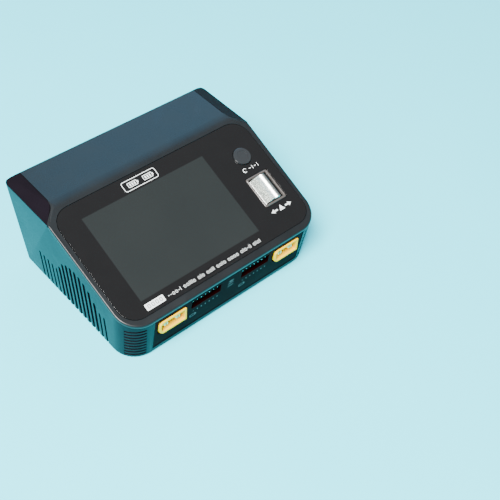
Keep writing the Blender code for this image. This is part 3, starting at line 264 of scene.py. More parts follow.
# %% Close a material
def close_material(mat, where, bumps, sockets):
    """Bumps are (height, depth in metres) pairs, laid one over another."""
    for height, depth in bumps:
        feed = {"Height": height, "Distance": depth}
        if "Normal" in sockets:
            feed["Normal"] = sockets["Normal"]
        sockets["Normal"] = where.make("ShaderNodeBump", {}, feed)
    shader = where.make("ShaderNodeBsdfPrincipled", {}, sockets)
    where.make("ShaderNodeOutputMaterial", {}, {"Surface": shader}, None)
    return mat


# %% [markdown]
# ## Moulded plastic
#
# The case is black plastic from a spark-eroded mould, which leaves a fine even grain. Handling
# polishes its outer edges, and a large face is never quite flat. The finish is therefore a nearly
# black colour, a grain of a quarter of a millimetre as bump, slow waves across the face, and a
# roughness that drifts and falls where the mesh is sharply convex. One function makes every
# moulded part, because real parts differ only in colour, grain and gloss.

# %% Moulded plastic
def moulded(name, low, high, rough, grain=0.25 * MM, depth=0.012 * MM, wear=0.10, gloss=0.5):
    mat, where = open_material(name)
    drift = where.noise(14 * MM, 4.0)
    fine = where.noise(grain, 2.0)
    pits = where.cells(grain * 1.7)
    edge = where.make("ShaderNodeNewGeometry", {}, {}, "Pointiness").span(0.51, 0.60)
    shade = (drift * 0.7 + fine * 0.3 + edge * 0.35).mix(low, high)
    smear = where.seen_from((0, 0, 0), (0.4, 0.2, 0.9)).stretch(1, 0.2, 1).noise(6 * MM, 5.0).span(0.55, 0.75)
    roughness = drift * 0.12 + fine * 0.06 + (rough - 0.09) - edge * wear - smear * 0.05
    bumps = [(fine + pits * 0.5, depth), (where.noise(22 * MM, 1.0), 0.05 * MM)]
    sockets = {"Base Color": shade, "Roughness": roughness, "Specular IOR Level": gloss}
    return close_material(mat, where, bumps, sockets)


CASE_BLACK = moulded("case_black", (0.0028, 0.0020, 0.0030), (0.0060, 0.0042, 0.0065), 0.36, gloss=0.07)
LID_BLACK = moulded("lid_black", (0.004, 0.0045, 0.005), (0.009, 0.010, 0.011), 0.38, gloss=0.36)
PORT_BLACK = moulded("port_black", (0.0050, 0.0002, 0.0002), (0.0100, 0.0006, 0.0005), 0.46, gloss=0.01)
NYLON_BLACK = moulded("nylon_black", (0.007, 0.007, 0.007), (0.017, 0.017, 0.018), 0.48,
                      0.18 * MM, 0.006 * MM)
KEY_BLACK = moulded("key_black", (0.010, 0.011, 0.012), (0.022, 0.023, 0.025), 0.24, 0.2 * MM, 0.002 * MM)
BEZEL_BROWN = moulded("bezel_brown", (0.030, 0.026, 0.024), (0.085, 0.072, 0.066), 0.26, 0.2 * MM, 0.002 * MM)
CASE_YELLOW = moulded("socket_yellow", (1.0, 0.46, 0.0), (1.0, 0.54, 0.0), 0.36,
                      0.3 * MM, 0.004 * MM, 0.06, 0.06)
print("moulded finishes made:", len(bpy.data.materials))

# %% [markdown]
# ## The panel cover
#
# The cover is one clear acrylic sheet. Its border is printed from behind in a warm black, and the
# window in the print shows the switched-off screen, a little greyer and greener. Seen from outside
# it is one glossy face with two darks under it, so the finish holds the window as a smooth-edged
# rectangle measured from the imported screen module. Wiping leaves long faint smears that show only in
# the gloss, and a few specks of dust lie on it.

# %% Measure the panel
lens_mesh = frame["nodes"]["display_lens"].data
face_up = max(lens_mesh.polygons, key=lambda face: face.area if face.normal.z > 0.5 else 0)
panel_normal = face_up.normal.normalized()
slope = math.atan2(-panel_normal.y, panel_normal.z)
up_slope = Vector((0, math.cos(slope), math.sin(slope)))
lens_points = [corner.co for corner in lens_mesh.vertices]
lens_top = max(point.dot(panel_normal) for point in lens_points)
lens_low = min(point.dot(up_slope) for point in lens_points)
lens_long = max(point.dot(up_slope) for point in lens_points) - lens_low
panel_origin = panel_normal * lens_top + up_slope * (lens_low - 4.0 * MM)
panel = Matrix.Translation(panel_origin) @ Matrix.Rotation(slope, 4, "X")
print("panel slope in degrees:", round(math.degrees(slope), 2))
print("cover length in mm:", round(lens_long / MM, 1))


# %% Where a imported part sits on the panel
def on_panel(node):
    """Lowest and highest corner in panel terms: across, up the slope, out of the face."""
    back = panel.inverted()
    points = [back @ corner.co for corner in frame["nodes"][node].data.vertices]
    return [Vector(pick(point[i] for point in points) for i in range(3)) for pick in (min, max)]


screen_low, screen_high = on_panel("display_module")
screen_edge = 3.0 * MM
screen_middle = (screen_low + screen_high) / 2
screen_half = (screen_high - screen_low) / 2 - Vector((screen_edge, screen_edge, 0))
print("screen in mm:", [round(2 * v / MM, 1) for v in screen_half])

# %% Cover finish
mat, where = open_material("panel_cover")
flat = where.seen_from(panel @ Vector((screen_middle.x, screen_middle.y, 0)), (-slope, 0, 0))
across = abs(flat.axis("X")) - screen_half.x
along = abs(flat.axis("Y")) - screen_half.y
window = across.maths("MAXIMUM", along).span(0.12 * MM, -0.12 * MM)
pixels = flat.stretch(1, 0.4, 1).noise(1.1 * MM, 2.0)
print_dark = where.noise(9 * MM).mix((0.0040, 0.0035, 0.0035), (0.0055, 0.0048, 0.0048))
screen_cloud = where.noise(30 * MM) * 0.8 + pixels * 0.2
screen_dark = screen_cloud.mix((0.0095, 0.0110, 0.0108), (0.0130, 0.0150, 0.0145))
shade = where.make("ShaderNodeMix", {"data_type": "RGBA"}, {0: window, 6: print_dark, 7: screen_dark}, 2)
smear = flat.seen_from((0, 0, 0), (0, 0, 0.6)).stretch(0.12, 1, 1).noise(3.5 * MM, 6.0).span(0.45, 0.85)
specks = where.cells(2.6 * MM).span(0.045, 0.015)
gloss = smear * 0.07 + specks * 0.4 + where.noise(25 * MM) * 0.03 + 0.10
bumps = [(where.noise(40 * MM, 1.0), 0.06 * MM)]
COVER = close_material(mat, where, bumps, {"Base Color": shade, "Roughness": gloss, "Coat Weight": 0.25})
COVER.node_tree.nodes["Principled BSDF"].inputs["Coat Roughness"].default_value = 0.04
print("cover finish made")

# %% [markdown]
# ## Metals
#
# Five metals are needed. The roller is plated silver with a fine brushed grain along its ridges, the
# power pins are gold-flashed brass, the plug pins bright tin, the screws zinc, and the heat sinks
# inside are bare aluminium. All take one function: a metal is a colour, a roughness and scratches
# that run one way. Tarnish gathers in slow patches.

# %% Plated metal
def plated(name, low, high, rough, lines=(1, 1, 0.05), depth=0.002 * MM):
    mat, where = open_material(name)
    drift = where.noise(2.5 * MM, 4.0)
    brushed = where.stretch(*lines).noise(0.12 * MM, 3.0)
    patches = where.noise(1.1 * MM, 5.0).span(0.55, 0.72)
    shade = (drift * 0.6 + brushed * 0.5 - patches * 0.15 + 0.1).mix(low, high)
    roughness = brushed * 0.14 + patches * 0.16 + (rough - 0.08)
    sockets = {"Base Color": shade, "Roughness": roughness, "Metallic": 1.0}
    return close_material(mat, where, [(brushed, depth)], sockets)


SILVER = plated("roller_silver", (0.34, 0.36, 0.34), (0.66, 0.68, 0.64), 0.26, (1, 0.08, 1))
GOLD = plated("pin_gold", (0.72, 0.50, 0.17), (0.94, 0.74, 0.34), 0.24)
TIN = plated("bright_tin", (0.60, 0.60, 0.58), (0.86, 0.86, 0.84), 0.26)
ZINC = plated("screw_zinc", (0.30, 0.31, 0.32), (0.58, 0.58, 0.57), 0.36)
ALLOY = plated("bare_aluminium", (0.50, 0.51, 0.52), (0.78, 0.79, 0.80), 0.38, (1, 0.04, 1))
print("metals made")

# %% [markdown]
# ## Print, rubber and what is inside
#
# White ink is silk-screened and slightly uneven at its edges. The feet are soft rubber with a bloom
# of dust. Inside the case there are boards with copper under green lacquer, grey ferrite, amber
# tape in turns, printed sleeves and a white ribbon. They only peep through the slots, but the model
# can be opened, so each gets its own finish.

# %% Ink and rubber
mat, where = open_material("white_ink")
thin = where.noise(0.22 * MM, 4.0).span(0.62, 0.80)
shade = (where.noise(2 * MM) * 0.5 + thin * 0.6).mix((0.80, 0.81, 0.79), (0.58, 0.59, 0.58))
INK = close_material(mat, where, [(thin, 0.004 * MM)], {"Base Color": shade, "Roughness": thin * 0.2 + 0.45})

mat, where = open_material("grey_ink")
thin = where.noise(0.3 * MM, 4.0)
shade = thin.mix((0.050, 0.056, 0.058), (0.085, 0.092, 0.094))
FAINT_INK = close_material(mat, where, [(thin, 0.004 * MM)],
                           {"Base Color": shade, "Roughness": thin * 0.2 + 0.4})

mat, where = open_material("foot_rubber")
bloom = where.noise(1.6 * MM, 5.0).span(0.45, 0.8)
shade = (bloom * 0.8 + where.noise(0.2 * MM) * 0.2).mix((0.012, 0.012, 0.012), (0.042, 0.041, 0.039))
RUBBER = close_material(mat, where, [(where.noise(0.25 * MM), 0.02 * MM)],
                        {"Base Color": shade, "Roughness": bloom * 0.15 + 0.78})
print("ink and rubber made")

# %% Boards
mat, where = open_material("green_board")
lanes = abs(where.stretch(1, 1, 0).noise(5 * MM, 0.0) * 14.0).maths("FRACT").span(0.35, 0.5)
pads = where.stretch(1, 1, 0).cells(3.2 * MM).span(0.20, 0.16)
green = lanes.mix((0.006, 0.050, 0.022), (0.016, 0.110, 0.048))
tinned = {"data_type": "RGBA"}
shade = where.make("ShaderNodeMix", tinned, {0: pads, 6: green, 7: (0.55, 0.54, 0.50, 1)}, 2)
BOARD = close_material(mat, where, [(lanes + pads, 0.035 * MM)],
                       {"Base Color": shade, "Roughness": lanes * 0.1 + 0.28, "Metallic": pads})

# %% Ferrite
mat, where = open_material("grey_ferrite")
grit = where.noise(0.3 * MM, 6.0)
shade = (grit * 0.7 + where.noise(5 * MM) * 0.3).mix((0.030, 0.031, 0.033), (0.085, 0.086, 0.090))
FERRITE = close_material(mat, where, [(grit, 0.03 * MM)],
                         {"Base Color": shade, "Roughness": grit * 0.2 + 0.55})

# %% Winding tape
mat, where = open_material("amber_tape")
turns = abs((where.axis("Z") * (1 / (2.4 * MM))).maths("FRACT") - 0.5).span(0.42, 0.5)
shade = (where.noise(6 * MM) * 0.7 + turns * 0.5).mix((0.72, 0.36, 0.03), (0.40, 0.17, 0.015))
TAPE = close_material(mat, where, [(turns, -0.05 * MM)],
                      {"Base Color": shade, "Roughness": turns * 0.2 + 0.22})

# %% Capacitor sleeve
mat, where = open_material("capacitor_sleeve")
lid = where.axis("Z").span(39.9 * MM, 40.3 * MM)
sleeve = where.noise(3 * MM).mix((0.010, 0.012, 0.035), (0.020, 0.024, 0.060))
shade = where.make("ShaderNodeMix", {"data_type": "RGBA"}, {0: lid, 6: sleeve, 7: (0.6, 0.6, 0.6, 1)}, 2)
SLEEVE = close_material(mat, where, [(where.noise(1.5 * MM), 0.02 * MM)],
                        {"Base Color": shade, "Metallic": lid,
                         "Roughness": where.noise(2 * MM) * 0.15 + 0.24})

# %% Ribbon
mat, where = open_material("ribbon_white")
wires = abs((where.axis("X") * (1 / (1.0 * MM))).maths("FRACT") - 0.5).span(0.28, 0.34)
shade = wires.mix((0.78, 0.77, 0.73), (0.50, 0.49, 0.46))
FLEX = close_material(mat, where, [(wires, -0.06 * MM)],
                      {"Base Color": shade, "Roughness": wires * 0.1 + 0.42})

# %% Screen glass of the bare module
mat, where = open_material("screen_glass")
shade = where.noise(0.2 * MM).mix((0.020, 0.024, 0.026), (0.032, 0.037, 0.039))
GLASS = close_material(mat, where, [], {"Base Color": shade, "Roughness": where.noise(5 * MM) * 0.06 + 0.1})
print("all finishes:", len(bpy.data.materials))

# %% [markdown]
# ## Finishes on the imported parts
#
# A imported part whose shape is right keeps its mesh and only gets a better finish. The list is read
# by the record's own slots, so that no part is left plain.

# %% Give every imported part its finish
FINISHES = {"shell": CASE_BLACK, "lens": COVER, "screen": GLASS, "bezel": BEZEL_BROWN, "silver": SILVER}
FINISHES.update({"yellow": CASE_YELLOW, "brass": GOLD, "tin": TIN, "black": NYLON_BLACK, "board": BOARD})
FINISHES.update({"ferrite": FERRITE, "tape": TAPE, "sleeve": SLEEVE, "alloy": ALLOY, "rubber": RUBBER})
FINISHES.update({"steel": ZINC, "flex": FLEX})
for part in frame["record"]["subparts"]:
    packed = frame["nodes"][part["node"]]
    if not packed.material_slots:
        packed.data.materials.append(None)
    for place_for_finish in packed.material_slots:
        place_for_finish.material = FINISHES[part["material_slot"]]

# %% [markdown]
# ## Softening the moulded shells
#
# No moulding has a knife edge: the steel itself is rounded, and the rounding is what catches the
# light along a seam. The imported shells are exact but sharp. A copy of each is merged, its flat areas
# are made whole again, and its sharp edges get a narrow bevel. Weighted normals then keep the large
# faces flat. The upper shell has the largest rounding, because a thumb is meant to run along it.

# %% The thumb rim
RIM_RADIUS = 0.9 * MM


def on_rim(place, direction):
    """Edges of the panel face that lie well outside the cover sheet."""
    spot = panel.inverted() @ place
    beyond = Vector((abs(spot.x) - 49.2 * MM, abs(spot.y - 36.7 * MM) - 23.2 * MM))
    outside = math.hypot(max(beyond.x, 0), max(beyond.y, 0)) - 9.5 * MM
    return abs(spot.z) < 0.45 * MM and outside > 1.5 * MM


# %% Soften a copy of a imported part
def softened(node, name, width, segments=2, sharp=50, rim=None):
    source = frame["nodes"][node]
    piece = bpy.data.objects.new(name, source.data.copy())
    bpy.context.scene.collection.objects.link(piece)
    edit(piece, "VERT", anywhere, bpy.ops.mesh.remove_doubles, threshold=0.002 * MM)
    edit(piece, "FACE", anywhere, bpy.ops.mesh.dissolve_limited, angle_limit=math.radians(0.4))
    if rim:
        edit(piece, "EDGE", rim, bpy.ops.mesh.bevel, offset=RIM_RADIUS, segments=4, affect="EDGES")
    settings = {"width": width, "segments": segments, "limit_method": "ANGLE", "profile": 0.6}
    settings.update({"angle_limit": math.radians(sharp), "use_clamp_overlap": True})
    modify(piece, "BEVEL", **settings)
    return piece


def weigh_normals(piece):
    return modify(piece, "WEIGHTED_NORMAL", keep_sharp=True, weight=60)


# %% The case and its plates
SOFT = {
    "lower_shell": ("lower_case", 0.22 * MM, CASE_BLACK),
    "upper_shell": ("upper_case", 0.3 * MM, LID_BLACK),
    "front_port_plate": ("front_plate", 0.22 * MM, PORT_BLACK),
    "rear_port_plate": ("rear_plate", 0.22 * MM, PORT_BLACK),
}
for node, (name, width, finish) in SOFT.items():
    piece = softened(node, name, width, rim=on_rim if node == "upper_shell" else None)
    weigh_normals(hand_over(piece, finish, "charger", [node], 40))

# %% [markdown]
# ## The cover sheet
#
# The cover is cut from 1 mm sheet with a small polished chamfer, which draws a thin bright line all
# round it. It is softened like the shells, with a finer edge.

# %% The cover sheet
piece = softened("display_lens", "panel_cover_sheet", 0.18 * MM)
weigh_normals(hand_over(piece, COVER, "charger", ["display_lens"], 40))

# %% [markdown]
# ## Sockets, inlet and fan
#
# The sockets are moulded nylon with small radii. The same softening serves them all. Their pins keep
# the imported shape, which already has its split and its tapered tip.

# %% Sockets, inlet and fan
PARTS = {
    "output_socket_left": ("output_socket_left_body", 0.25 * MM, CASE_YELLOW, "yellow", "charger"),
    "output_socket_right": ("output_socket_right_body", 0.25 * MM, CASE_YELLOW, "yellow", "charger"),
    "dc_input_socket": ("dc_input_body", 0.25 * MM, CASE_YELLOW, "yellow", "charger"),
    "balance_header_left": ("balance_header_left_body", 0.15 * MM, NYLON_BLACK, "black", "charger"),
    "balance_header_right": ("balance_header_right_body", 0.15 * MM, NYLON_BLACK, "black", "charger"),
    "mains_inlet": ("mains_inlet_body", 0.3 * MM, NYLON_BLACK, "black", "charger"),
    "roller_bezel": ("roller_window_frame", 0.12 * MM, BEZEL_BROWN, "bezel", "charger"),
    "fan_frame": ("fan_housing", 0.2 * MM, NYLON_BLACK, "black", "charger"),
    "usb_c_shell": ("usb_c_can", 0.08 * MM, TIN, "tin", "charger"),
    "roller_carrier": ("roller_cradle", 0.15 * MM, NYLON_BLACK, "black", "carrier"),
}
for node, (name, width, finish, slot, body) in PARTS.items():
    weigh_normals(hand_over(softened(node, name, width), finish, body, [node], 40))

# %% [markdown]
# ## The roller
#
# The roller is a plated cylinder with fine straight ridges along its axis, chamfered ends and an
# axle. It starts as a cylinder with two points for each ridge. Every second row of points is drawn
# in towards the axis, which makes the ridges, and the caps are inset and sunk a little so that the
# ends read as a hub in a rim.

# %% Cut the ridges
roller_low, roller_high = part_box("roller_wheel")
roller_axis = (roller_low + roller_high) / 2
carrier_low, carrier_high = on_panel("roller_wheel")
roller_radius = (carrier_high.x - carrier_low.x) / 2
ridges, roller_long = 48, 14.6 * MM
bpy.ops.mesh.primitive_cylinder_add(vertices=2 * ridges, radius=roller_radius, depth=roller_long)
roller = named("ridged_roller")
step = math.pi / ridges


def in_groove(place, direction):
    turn = math.atan2(place.y, place.x) / step
    return round(turn) % 2 == 1


edit(roller, "VERT", in_groove, bpy.ops.transform.resize, value=(0.945, 0.945, 1), center_override=(0, 0, 0))
edit(roller, "FACE", lambda place, direction: abs(direction.z) > 0.9, bpy.ops.mesh.inset,
     thickness=0.5 * MM, depth=0.35 * MM)
edit(roller, "FACE", lambda place, direction: abs(direction.z) > 0.9, bpy.ops.mesh.inset,
     thickness=2.2 * MM, depth=0)
edit(roller, "FACE", lambda place, direction: abs(direction.z) > 0.9 and place.xy.length < 0.1 * MM,
     bpy.ops.mesh.inset, thickness=0.4 * MM, depth=-0.5 * MM)
print("roller radius in mm:", round(roller_radius / MM, 2), "ridges:", ridges)

# %% Add the axle and set it in place
axle_long = (carrier_high.y - carrier_low.y)
bpy.ops.mesh.primitive_cylinder_add(vertices=32, radius=1.0 * MM, depth=axle_long)
axle = named("axle")
edit(axle, "FACE", lambda place, direction: abs(direction.z) > 0.9, bpy.ops.mesh.inset,
     thickness=0.2 * MM, depth=0.15 * MM)
weld(roller, axle)
lie_down = Matrix.Rotation(math.radians(-90) + slope, 4, "X")
settle(roller, Matrix.Translation(roller_axis) @ lie_down)
hand_over(roller, SILVER, "roller", ["roller_wheel"], 20)

# %% [markdown]
# ## The button
#
# The button is a low dome with a rounded shoulder and a faint dish in its middle where the finger
# rests. It is turned like a pot: a disc is inset again and again, each step raised a little less,
# and a narrow bevel takes off its sharp edges. The flange and the stem are inside the case.

# %% Shape the cap
button_low, button_high = on_panel("exit_button")
button_middle = (button_low + button_high) / 2
button_radius = (button_high.x - button_low.x) / 2 - 1.0 * MM
cap_top = button_high.z - 0.38 * MM
bpy.ops.mesh.primitive_cylinder_add(vertices=64, radius=button_radius, depth=4 * MM,
                                    location=(button_middle.x, button_middle.y, cap_top - 2 * MM))
button = named("button_cap")
settle(button)
bottom = min(corner.co.z for corner in button.data.vertices)
for thickness, depth in ((0.25, 0.22), (0.6, 0.12), (1.6, 0.04), (0.9, -0.05)):
    edit(button, "FACE", facing_up, bpy.ops.mesh.inset, thickness=thickness * MM, depth=depth * MM)
edit(button, "FACE", lambda place, direction: direction.z < -0.9, bpy.ops.mesh.extrude_region_shrink_fatten,
     TRANSFORM_OT_shrink_fatten={"value": 0.0})
edit(button, "FACE", lambda place, direction: direction.z < -0.9, bpy.ops.transform.resize,
     value=(1.2, 1.2, 1), center_override=(button_middle.x, button_middle.y, bottom))
edit(button, "FACE", lambda place, direction: direction.z < -0.9, bpy.ops.mesh.extrude_region_move,
     TRANSFORM_OT_translate={"value": (0, 0, -1.1 * MM)})
print("button radius in mm:", round(button_radius / MM, 2))

# %% Stem and place
stem_low = button_low.z
stem_spot = (button_middle.x, button_middle.y, (bottom + stem_low) / 2 - 0.25 * MM)
bpy.ops.mesh.primitive_cylinder_add(vertices=32, radius=1.6 * MM, depth=bottom - stem_low - 0.5 * MM,
                                    location=stem_spot)
stem = named("stem")
edit(stem, "FACE", lambda place, direction: direction.z < -0.9, bpy.ops.mesh.inset,
     thickness=0.3 * MM, depth=0)
settle(stem)
weld(button, stem)
settle(button, panel)
modify(button, "BEVEL", width=0.1 * MM, segments=2, limit_method="ANGLE", angle_limit=math.radians(60))
weigh_normals(hand_over(button, KEY_BLACK, "button", ["exit_button"], 40))

# %% [markdown]
# ## Printed marks
#
# The cover carries white marks: an outlined box with two battery signs above the screen, a plain
# badge and a line of small signs below it, arrows beside the roller and a return sign under the
# button. They are printed from the outside, so each mark is a film of ink 0.03 mm thick. A mark is
# laid out flat on the bench in panel terms, across and up the slope, and then set on the panel.
# No mark is a letter or a name: they are bars, rings, arrows and batteries.

# %% Flat shapes of ink
INK_THICK = 0.03 * MM
marks = []


def raise_ink(shape, lift=INK_THICK):
    settle(shape)
    edit(shape, "FACE", anywhere, bpy.ops.mesh.extrude_region_move,
         TRANSFORM_OT_translate={"value": (0, 0, lift)})
    marks.append(shape)
    return shape


def bar(x, t, width, height, radius=0.0, turn=0.0):
    """A bar with round corners, its middle at x and t."""
    bpy.ops.mesh.primitive_plane_add(size=1)
    shape = named("bar")
    shape.scale = (width, height, 1)
    settle(shape)
    if radius:
        edit(shape, "VERT", anywhere, bpy.ops.mesh.bevel, affect="VERTICES", offset=radius, segments=4)
    shape.rotation_euler = (0, 0, turn)
    shape.location = (x, t, -0.01 * MM)
    return raise_ink(shape)


def outline(x, t, width, height, radius, line, turn=0.0):
    """A frame of ink of one line's width."""
    bpy.ops.mesh.primitive_plane_add(size=1)
    shape = named("outline")
    shape.scale = (width, height, 1)
    settle(shape)
    edit(shape, "VERT", anywhere, bpy.ops.mesh.bevel, affect="VERTICES", offset=radius, segments=5)
    edit(shape, "FACE", anywhere, bpy.ops.mesh.inset, thickness=line)
    inner = max(shape.data.polygons, key=lambda face: face.area).center.copy()
    edit(shape, "FACE", lambda place, direction: (place - inner).length < 1e-6,
         bpy.ops.mesh.delete, type="FACE")
    shape.rotation_euler = (0, 0, turn)
    shape.location = (x, t, -0.01 * MM)
    return raise_ink(shape)


def wedge(x, t, radius, turn, squeeze=1.0):
    """A filled triangle whose tip points along turn."""
    bpy.ops.mesh.primitive_circle_add(vertices=3, radius=radius, fill_type="NGON")
    shape = named("wedge")
    shape.rotation_euler = (0, 0, -math.pi / 2)
    settle(shape)
    tip = max(corner.co.x for corner in shape.data.vertices)
    if tip < radius * 0.9:
        shape.rotation_euler = (0, 0, math.pi)
        settle(shape)
    shape.scale = (1, squeeze, 1)
    settle(shape)
    shape.rotation_euler = (0, 0, turn)
    shape.location = (x, t, -0.01 * MM)
    return raise_ink(shape)


def arc_line(x, t, radius, line, start, end, steps=20):
    """A bent line of ink: one end is drawn and spun round the middle."""
    bpy.ops.mesh.primitive_plane_add(size=1)
    shape = named("arc_line")
    shape.scale = (line, 1e-6, 1)
    shape.location = (radius, 0, 0)
    settle(shape)
    edit(shape, "VERT", anywhere, bpy.ops.mesh.remove_doubles, threshold=2e-6)
    edit(shape, "EDGE", anywhere, bpy.ops.mesh.spin, steps=steps, angle=end - start,
         center=(0, 0, 0), axis=(0, 0, 1))
    edit(shape, "VERT", anywhere, bpy.ops.mesh.remove_doubles, threshold=1e-7)
    shape.rotation_euler = (0, 0, start)
    shape.location = (x, t, -0.01 * MM)
    settle(shape)
    edit(shape, "FACE", anywhere, bpy.ops.mesh.normals_make_consistent, inside=False)
    return raise_ink(shape)


# %% Set all marks down as one piece
def set_down(name, matrix, finish):
    piece = weld(*marks)
    marks.clear()
    named(name)
    settle(piece, matrix)
    edit(piece, "FACE", anywhere, bpy.ops.mesh.normals_make_consistent, inside=False)
    return hand_over(piece, finish, "charger", [], 30)


# %% Box with two battery signs
SIGN_ROW = 64.4 * MM
outline(-9.6 * MM, SIGN_ROW, 20.2 * MM, 5.7 * MM, 1.2 * MM, 0.30 * MM)
for side in (-1, 1):
    middle = -9.5 * MM + side * 4.6 * MM
    outline(middle, SIGN_ROW, 5.6 * MM, 2.7 * MM, 0.4 * MM, 0.32 * MM)
    bar(middle + 3.15 * MM, SIGN_ROW, 0.5 * MM, 1.2 * MM, 0.1 * MM)
    for i in range(3):
        bar(middle + (i - 1) * 1.35 * MM, SIGN_ROW, 0.75 * MM, 1.4 * MM, 0.12 * MM)
set_down("battery_signs", panel, INK)

# %% Badge and the line of small signs
bar(-41.2 * MM, 7.5 * MM, 10.7 * MM, 3.4 * MM, 0.4 * MM)
dice = random.Random(11)
edge_x = -33.9 * MM
while edge_x < 25.5 * MM:
    for i in range(dice.choice((3, 4, 5, 6))):
        kind = dice.random()
        if kind < 0.45:
            bar(edge_x + 0.1 * MM, 7.1 * MM, 0.2 * MM, 1.9 * MM, 0.05 * MM)
            edge_x += 0.75 * MM
        elif kind < 0.85:
            outline(edge_x + 0.6 * MM, 6.85 * MM, 1.2 * MM, 1.4 * MM, 0.5 * MM, 0.19 * MM)
            edge_x += 1.75 * MM
        else:
            bar(edge_x + 0.4 * MM, 6.95 * MM, 0.8 * MM, 0.2 * MM, 0.05 * MM)
            edge_x += 1.3 * MM
    edge_x += 1.2 * MM
set_down("line_of_signs", panel, INK)
for i in range(4):
    outline((-44.6 + 2.3 * i) * MM, 7.5 * MM, 1.5 * MM, 2.0 * MM, 0.4 * MM, 0.3 * MM)
set_down("badge_signs", panel @ Matrix.Translation((0, 0, 0.03 * MM)), FAINT_INK)

# %% Arrows under the roller
ROLLER_COLUMN, ARROW_ROW = 45.9, 15.9
for side, turn in ((-1, math.pi), (1, 0)):
    wedge((ROLLER_COLUMN + side * 5.4) * MM, ARROW_ROW * MM, 1.4 * MM, turn)
    bar((ROLLER_COLUMN + side * 3.6) * MM, ARROW_ROW * MM, 2.0 * MM, 0.8 * MM, 0.1 * MM)
wedge(ROLLER_COLUMN * MM, 16.2 * MM, 1.5 * MM, math.pi / 2)
bar(ROLLER_COLUMN * MM, 15.0 * MM, 3.2 * MM, 0.6 * MM, 0.1 * MM)
set_down("roller_arrows", panel, INK)

# %% Return sign under the button
RETURN_ROW = 42.5 * MM
arc_line(42.2 * MM, RETURN_ROW, 1.1 * MM, 0.3 * MM, math.radians(-60), math.radians(210))
wedge(41.25 * MM, 41.9 * MM, 0.7 * MM, math.radians(-80))
for i, wide in enumerate((1.3, 0.3, 1.1, 0.3)):
    bar((45.4 + i * 1.75) * MM, RETURN_ROW, wide * MM, 0.3 * MM, 0.1 * MM)
    if i % 2:
        bar((45.4 + i * 1.75) * MM, RETURN_ROW, 0.3 * MM, 2.1 * MM, 0.1 * MM)
set_down("return_sign", panel, INK)

# %% [markdown]
# ## Marks on the port plates
#
# Beside and under the front sockets the mould leaves faint raised signs: plus, minus, and battery
# outlines. They are a dark grey, little lighter than the plate. They are laid out as the
# printed ones are, and set on the plane of the leaning plate, measured from its largest front face.

# %% Measure a plate's outer face
def plate_matrix(node, outward):
    faces = frame["nodes"][node].data.polygons
    face = max(faces, key=lambda face: face.area if face.normal.dot(outward) > 0.9 else 0)
    normal = face.normal.normalized()
    side = Vector((0, 0, 1)).cross(normal).normalized()
    rise = normal.cross(side)
    foot = face.center - rise * (face.center.z / rise.z)
    foot.x = 0
    turn = Matrix((side, rise, normal)).transposed().to_4x4()
    return Matrix.Translation(foot) @ turn


front_plate = plate_matrix("front_port_plate", Vector((0, -1, 0)))
rear_plate = plate_matrix("rear_port_plate", Vector((0, 1, 0)))
print("front plate leans:", round(math.degrees(math.asin(front_plate.col[2][2])), 1), "degrees")

# %% Front marks
left_low, left_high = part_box("output_socket_left")
right_low, right_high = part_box("output_socket_right")
header_low, header_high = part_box("balance_header_left")
header2_low, header2_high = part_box("balance_header_right")
for low, high in ((left_low, left_high), (right_low, right_high)):
    for side in (-1, 1):
        x = (low.x + high.x) / 2 + side * 3.6 * MM
        bar(x, 12.2 * MM, 1.7 * MM, 0.4 * MM, 0.1 * MM)
        if side > 0:
            bar(x, 12.2 * MM, 0.4 * MM, 1.7 * MM, 0.1 * MM)
for low, high in ((header_low, header_high), (header2_low, header2_high)):
    for i in range(7):
        x = (low.x + high.x) / 2 + (i - 3) * 2.5 * MM
        bar(x, 15.1 * MM, 0.5 * MM, 0.9 * MM if i else 0.4 * MM, 0.1 * MM)
    outline(low.x + 2.4 * MM, 11.6 * MM, 3.4 * MM, 2.0 * MM, 0.3 * MM, 0.3 * MM)
    bar(low.x + 4.4 * MM, 11.6 * MM, 0.4 * MM, 0.9 * MM, 0.1 * MM)
middle_x = (left_low.x + right_high.x) / 2
for i in range(3):
    bar(middle_x, (17.6 + 2.0 * i) * MM, 3.6 * MM, 0.35 * MM, 0.1 * MM)
outline(middle_x, 21.2 * MM, 1.6 * MM, 1.6 * MM, 0.7 * MM, 0.3 * MM)
set_down("front_plate_marks", front_plate @ Matrix.Translation((0, 0, 0.05 * MM)), FAINT_INK)

# %% Rear marks
inlet_low, inlet_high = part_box("mains_inlet")
dc_low, dc_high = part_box("dc_input_socket")
usb_low, usb_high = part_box("usb_c_shell")
inlet_x = -(inlet_low.x + inlet_high.x) / 2
dc_x = -(dc_low.x + dc_high.x) / 2
usb_x = -(usb_low.x + usb_high.x) / 2
arc_line(inlet_x - 1.1 * MM, 37.5 * MM, 1.1 * MM, 0.35 * MM, 0, math.pi)
arc_line(inlet_x + 1.1 * MM, 37.5 * MM, 1.1 * MM, 0.35 * MM, math.pi, 2 * math.pi)
bar(dc_x, 27.6 * MM, 4.2 * MM, 0.4 * MM, 0.1 * MM)
for i in range(3):
    bar(dc_x + (i - 1) * 1.5 * MM, 26.6 * MM, 1.0 * MM, 0.4 * MM, 0.1 * MM)
wedge(usb_x, 25.8 * MM, 0.8 * MM, math.pi / 2)
bar(usb_x, 23.6 * MM, 0.4 * MM, 3.6 * MM, 0.1 * MM)
bar(usb_x + 0.9 * MM, 23.6 * MM, 1.5 * MM, 0.4 * MM, 0.1 * MM)
set_down("rear_plate_marks", rear_plate, INK)

# %% [markdown]
# ## Feet and screws
#
# The underside is seen when the charger is turned over. Each foot is a rubber disc with a rounded
# rim and a shallow ring moulded in its face. Each screw has a cross recess, and both are modelled
# once and copied.

